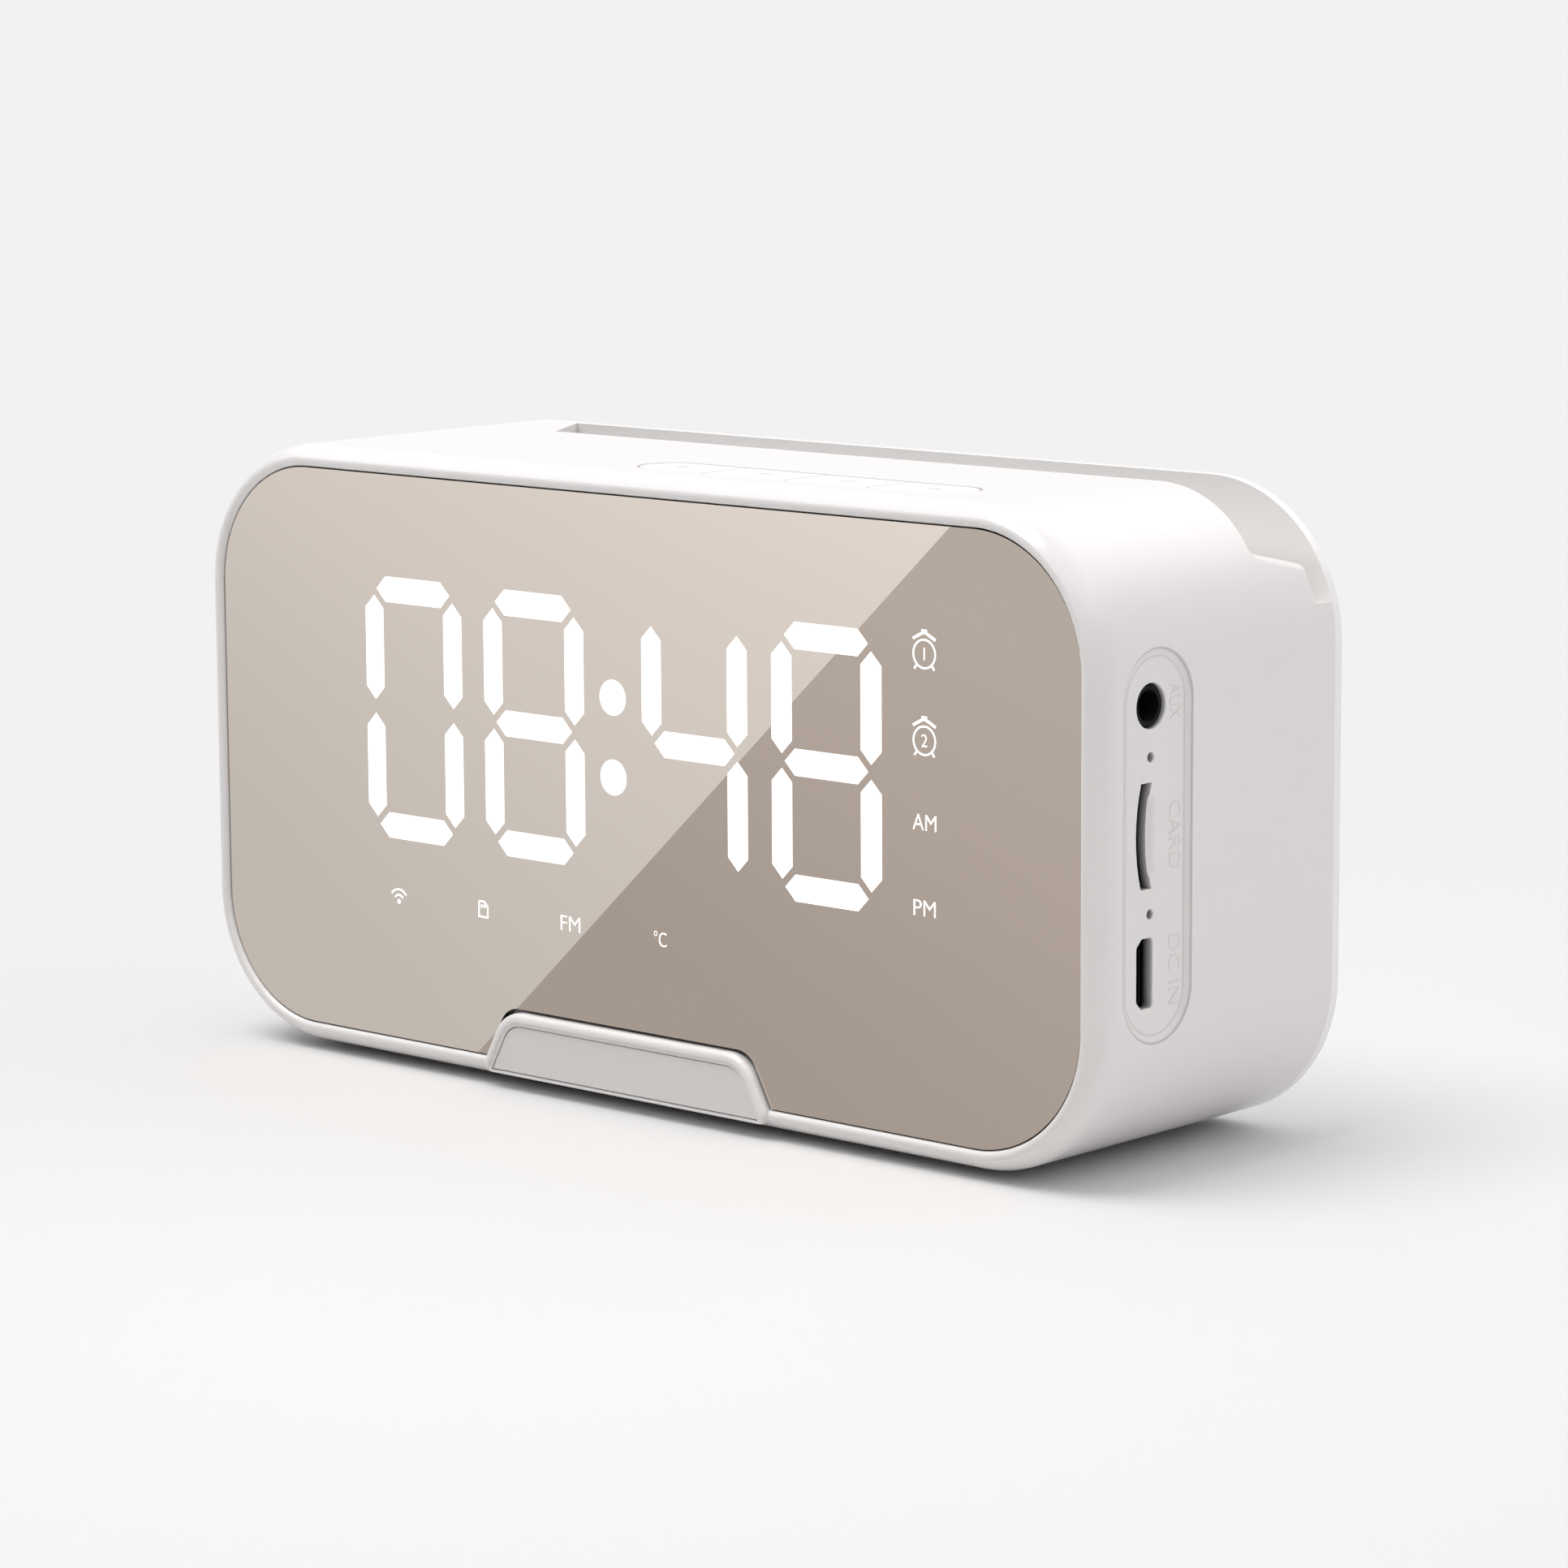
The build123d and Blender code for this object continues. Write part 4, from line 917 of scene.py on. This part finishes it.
def floor():
    """Pale floor that runs out to the horizon, with a painted pool of light, lightest before the
    lens.
    """
    bpy.ops.mesh.primitive_plane_add(size=floor_size)
    ground = new_piece("floor")
    material, tree, shader = new_material("floor_paper")
    shader.inputs["Roughness"].default_value = floor_roughness
    shader.inputs["Specular IOR Level"].default_value = 0.0
    place = node(tree, "ShaderNodeTexCoord")
    away = node(tree, "ShaderNodeVectorMath", {1: floor_painted_glow}, operation="DISTANCE")
    reach = node(tree, "ShaderNodeMapRange", {"From Max": floor_reach})
    # Painted light: the floor's colour is lightest near the glow and darker away from it
    tone = node(tree, "ShaderNodeValToRGB")
    grade(tone.color_ramp, floor_tones)
    wire(tree, (place.outputs["Object"], away.inputs[0]),
         (away.outputs["Value"], reach.inputs["Value"]),
         (reach.outputs["Result"], tone.inputs["Fac"]),
         (tone.outputs["Color"], shader.inputs["Base Color"]))
    dress(ground, material)


def reflection_cards(camera):
    """A bright card on the table before the lens, and a grey one over it up to a slanted line."""
    eye = camera.matrix_world.translation.copy()
    eye.y = 2 * lens_face_y - eye.y
    ends = [Vector((end.x, lens_face_y, end.z)) for end in (split_top, split_foot)]
    split = (ends[0] - eye).cross(ends[1] - eye).normalized()
    card_y = cad_low.y - card_size / 2 - card_gap
    for number, (name, stops) in enumerate(card_grades.items()):
        height = card_lift * (number + 1)
        bpy.ops.mesh.primitive_plane_add(size=card_size, location=(0, card_y, height))
        card = settle(new_piece(name))
        if name == "grey_card":
            bpy.ops.object.mode_set(mode="EDIT")
            bpy.ops.mesh.select_all(action="SELECT")
            bpy.ops.mesh.bisect(plane_co=ends[0], plane_no=split, clear_inner=True)
            bpy.ops.object.mode_set(mode="OBJECT")
        dress(card, light_only_for_gloss(name, stops))


def lights():
    """Soft light from all round, strongest above and behind, and a wide soft lamp above.

    The camera and the reflections see a plain backdrop instead, with a softbox overhead.
    """
    world = bpy.data.worlds.new("studio")
    bpy.context.scene.world = world
    world.use_nodes = True
    tree = world.node_tree
    around = tree.nodes["Background"]
    around.inputs["Color"].default_value = (*sky_colour, 1)
    direction = node(tree, "ShaderNodeTexCoord").outputs["Generated"]
    toward = node(tree, "ShaderNodeVectorMath", {1: sky_lean}, operation="DOT_PRODUCT")
    level = node(tree, "ShaderNodeMath", {1: sky_level}, operation="ADD")
    behind = node(tree, "ShaderNodeBackground", {"Color": (*backdrop_colour, 1)})
    overhead = node(tree, "ShaderNodeMapRange", {
        "From Min": softbox_from, "From Max": softbox_full, "To Min": 1.0,
        "To Max": softbox_strength,
    })
    path = node(tree, "ShaderNodeLightPath")
    seen = node(tree, "ShaderNodeMath", operation="MAXIMUM")
    choice = node(tree, "ShaderNodeMixShader")
    wire(tree, (direction, toward.inputs[0]), (toward.outputs["Value"], level.inputs[0]),
         (level.outputs["Value"], around.inputs["Strength"]),
         (axes(tree, direction)["Z"], overhead.inputs["Value"]),
         (overhead.outputs["Result"], behind.inputs["Strength"]),
         (path.outputs["Is Camera Ray"], seen.inputs[0]),
         (path.outputs["Is Glossy Ray"], seen.inputs[1]),
         (seen.outputs["Value"], choice.inputs["Fac"]),
         (around.outputs["Background"], choice.inputs[1]),
         (behind.outputs["Background"], choice.inputs[2]),
         (choice.outputs["Shader"], tree.nodes["World Output"].inputs["Surface"]))
    bpy.ops.object.light_add(type="SUN")
    lamp = bpy.context.object
    lamp.name = "soft_lamp"
    lamp.data.energy = lamp_energy
    lamp.data.angle = lamp_angle
    lamp.rotation_euler = lamp_direction.to_track_quat("Z", "Y").to_euler()


# The dressed part

moulded = moulded_surface()
drawn = drawn_metal()
celled = open_cells()
special = (housing_white, mirror_tint, board_green, socket_steel)
finishes = {make.__name__: make() for make in special}


def add_finish(make, name, *values, **options):
    """Make a finish, and keep it under the name of its slot."""
    finishes[name] = make(name, *values, **options)


# Painted light: the rear cover is a lighter copy of the shell white, which brightens the slot's
# rear wall
add_finish(plastic, "cover_lit_white", (0.95, 0.935, 0.93), 0.34, clouding=0.015, coat=0.3, bump=0.04)
add_finish(plastic, "key_white", shell_white, 0.45, clouding=0.015, bump=0.06)
add_finish(plastic, "tape_black", (0.03, 0.03, 0.03), 0.7, bump=0.3)
add_finish(plastic, "inlay_grey", (0.77, 0.755, 0.75), 0.4, clouding=0.03, coat=0.2, bump=0.02)
add_finish(plastic, "switch_black", (0.04, 0.04, 0.04), 0.5)
add_finish(plastic, "reflector_black", (0.05, 0.05, 0.05), 0.6, bump=0.2)
add_finish(plastic, "diffuser_milky", (0.85, 0.85, 0.83), 0.5, clouding=0.05)
add_finish(plastic, "led_cream", (0.85, 0.78, 0.45), 0.3, coat=0.5)
add_finish(plastic, "socket_black", (0.006, 0.006, 0.006), 0.6, specular=0.12)
add_finish(plastic, "basket_black", (0.05, 0.05, 0.05), 0.4, coat=0.2)
add_finish(plastic, "surround_rubber", (0.03, 0.03, 0.03), 0.55, grain=1500.0, bump=0.25)
add_finish(metal, "capsule_silver", (0.62, 0.62, 0.63), 0.25)
add_finish(metal, "cell_foil", (0.66, 0.66, 0.68), 0.3, line_shade=0.06, stretch=foil_stretch,
           bump=0.4)
add_finish(metal, "magnet_grey", (0.22, 0.22, 0.23), 0.4)
add_finish(metal, "screw_steel", (0.55, 0.55, 0.56), 0.3)
add_finish(cellular, "foam_grey", (0.12, 0.12, 0.12), 0.85, 1800.0)
add_finish(cellular, "cone_black", (0.06, 0.06, 0.06), 0.75, 2600.0, cell_shade=0.5, bump=0.4)
add_finish(cellular, "foot_rubber", (0.08, 0.08, 0.08), 0.7, 3500.0, cell_shade=0.2, bump=0.3)

# The rear cover takes the lighter copy of the shell white, as painted light
for row in frame["record"]["subparts"]:
    finish = "cover_lit_white" if row["node"] == "rear_cover" else row["material_slot"]
    dress(frame["nodes"][row["node"]], finishes[finish])

light = lit_white()
for piece in (lit_time(), lit_signs()):
    dress(piece, light)
    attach(piece, "body")

key_print = plastic("key_print", (0.66, 0.645, 0.64), 0.5)
for key, piece in key_marks().items():
    dress(piece, key_print)
    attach(piece, key)

labels = socket_labels()
# Painted shade: the raised words are greyer than the shell, standing in for the shading of their
# relief
dress(labels, plastic("label_relief_shade", (0.75, 0.73, 0.725), 0.4, bump=0.04))
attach(labels, "body")

heads = cover_screw_heads()
dress(heads, finishes["screw_steel"])
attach(heads, "body")
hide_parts("cover_screws")

camera = photo_camera()
floor()
reflection_cards(camera)
lights()
bpy.context.scene.view_settings.view_transform = "Standard"
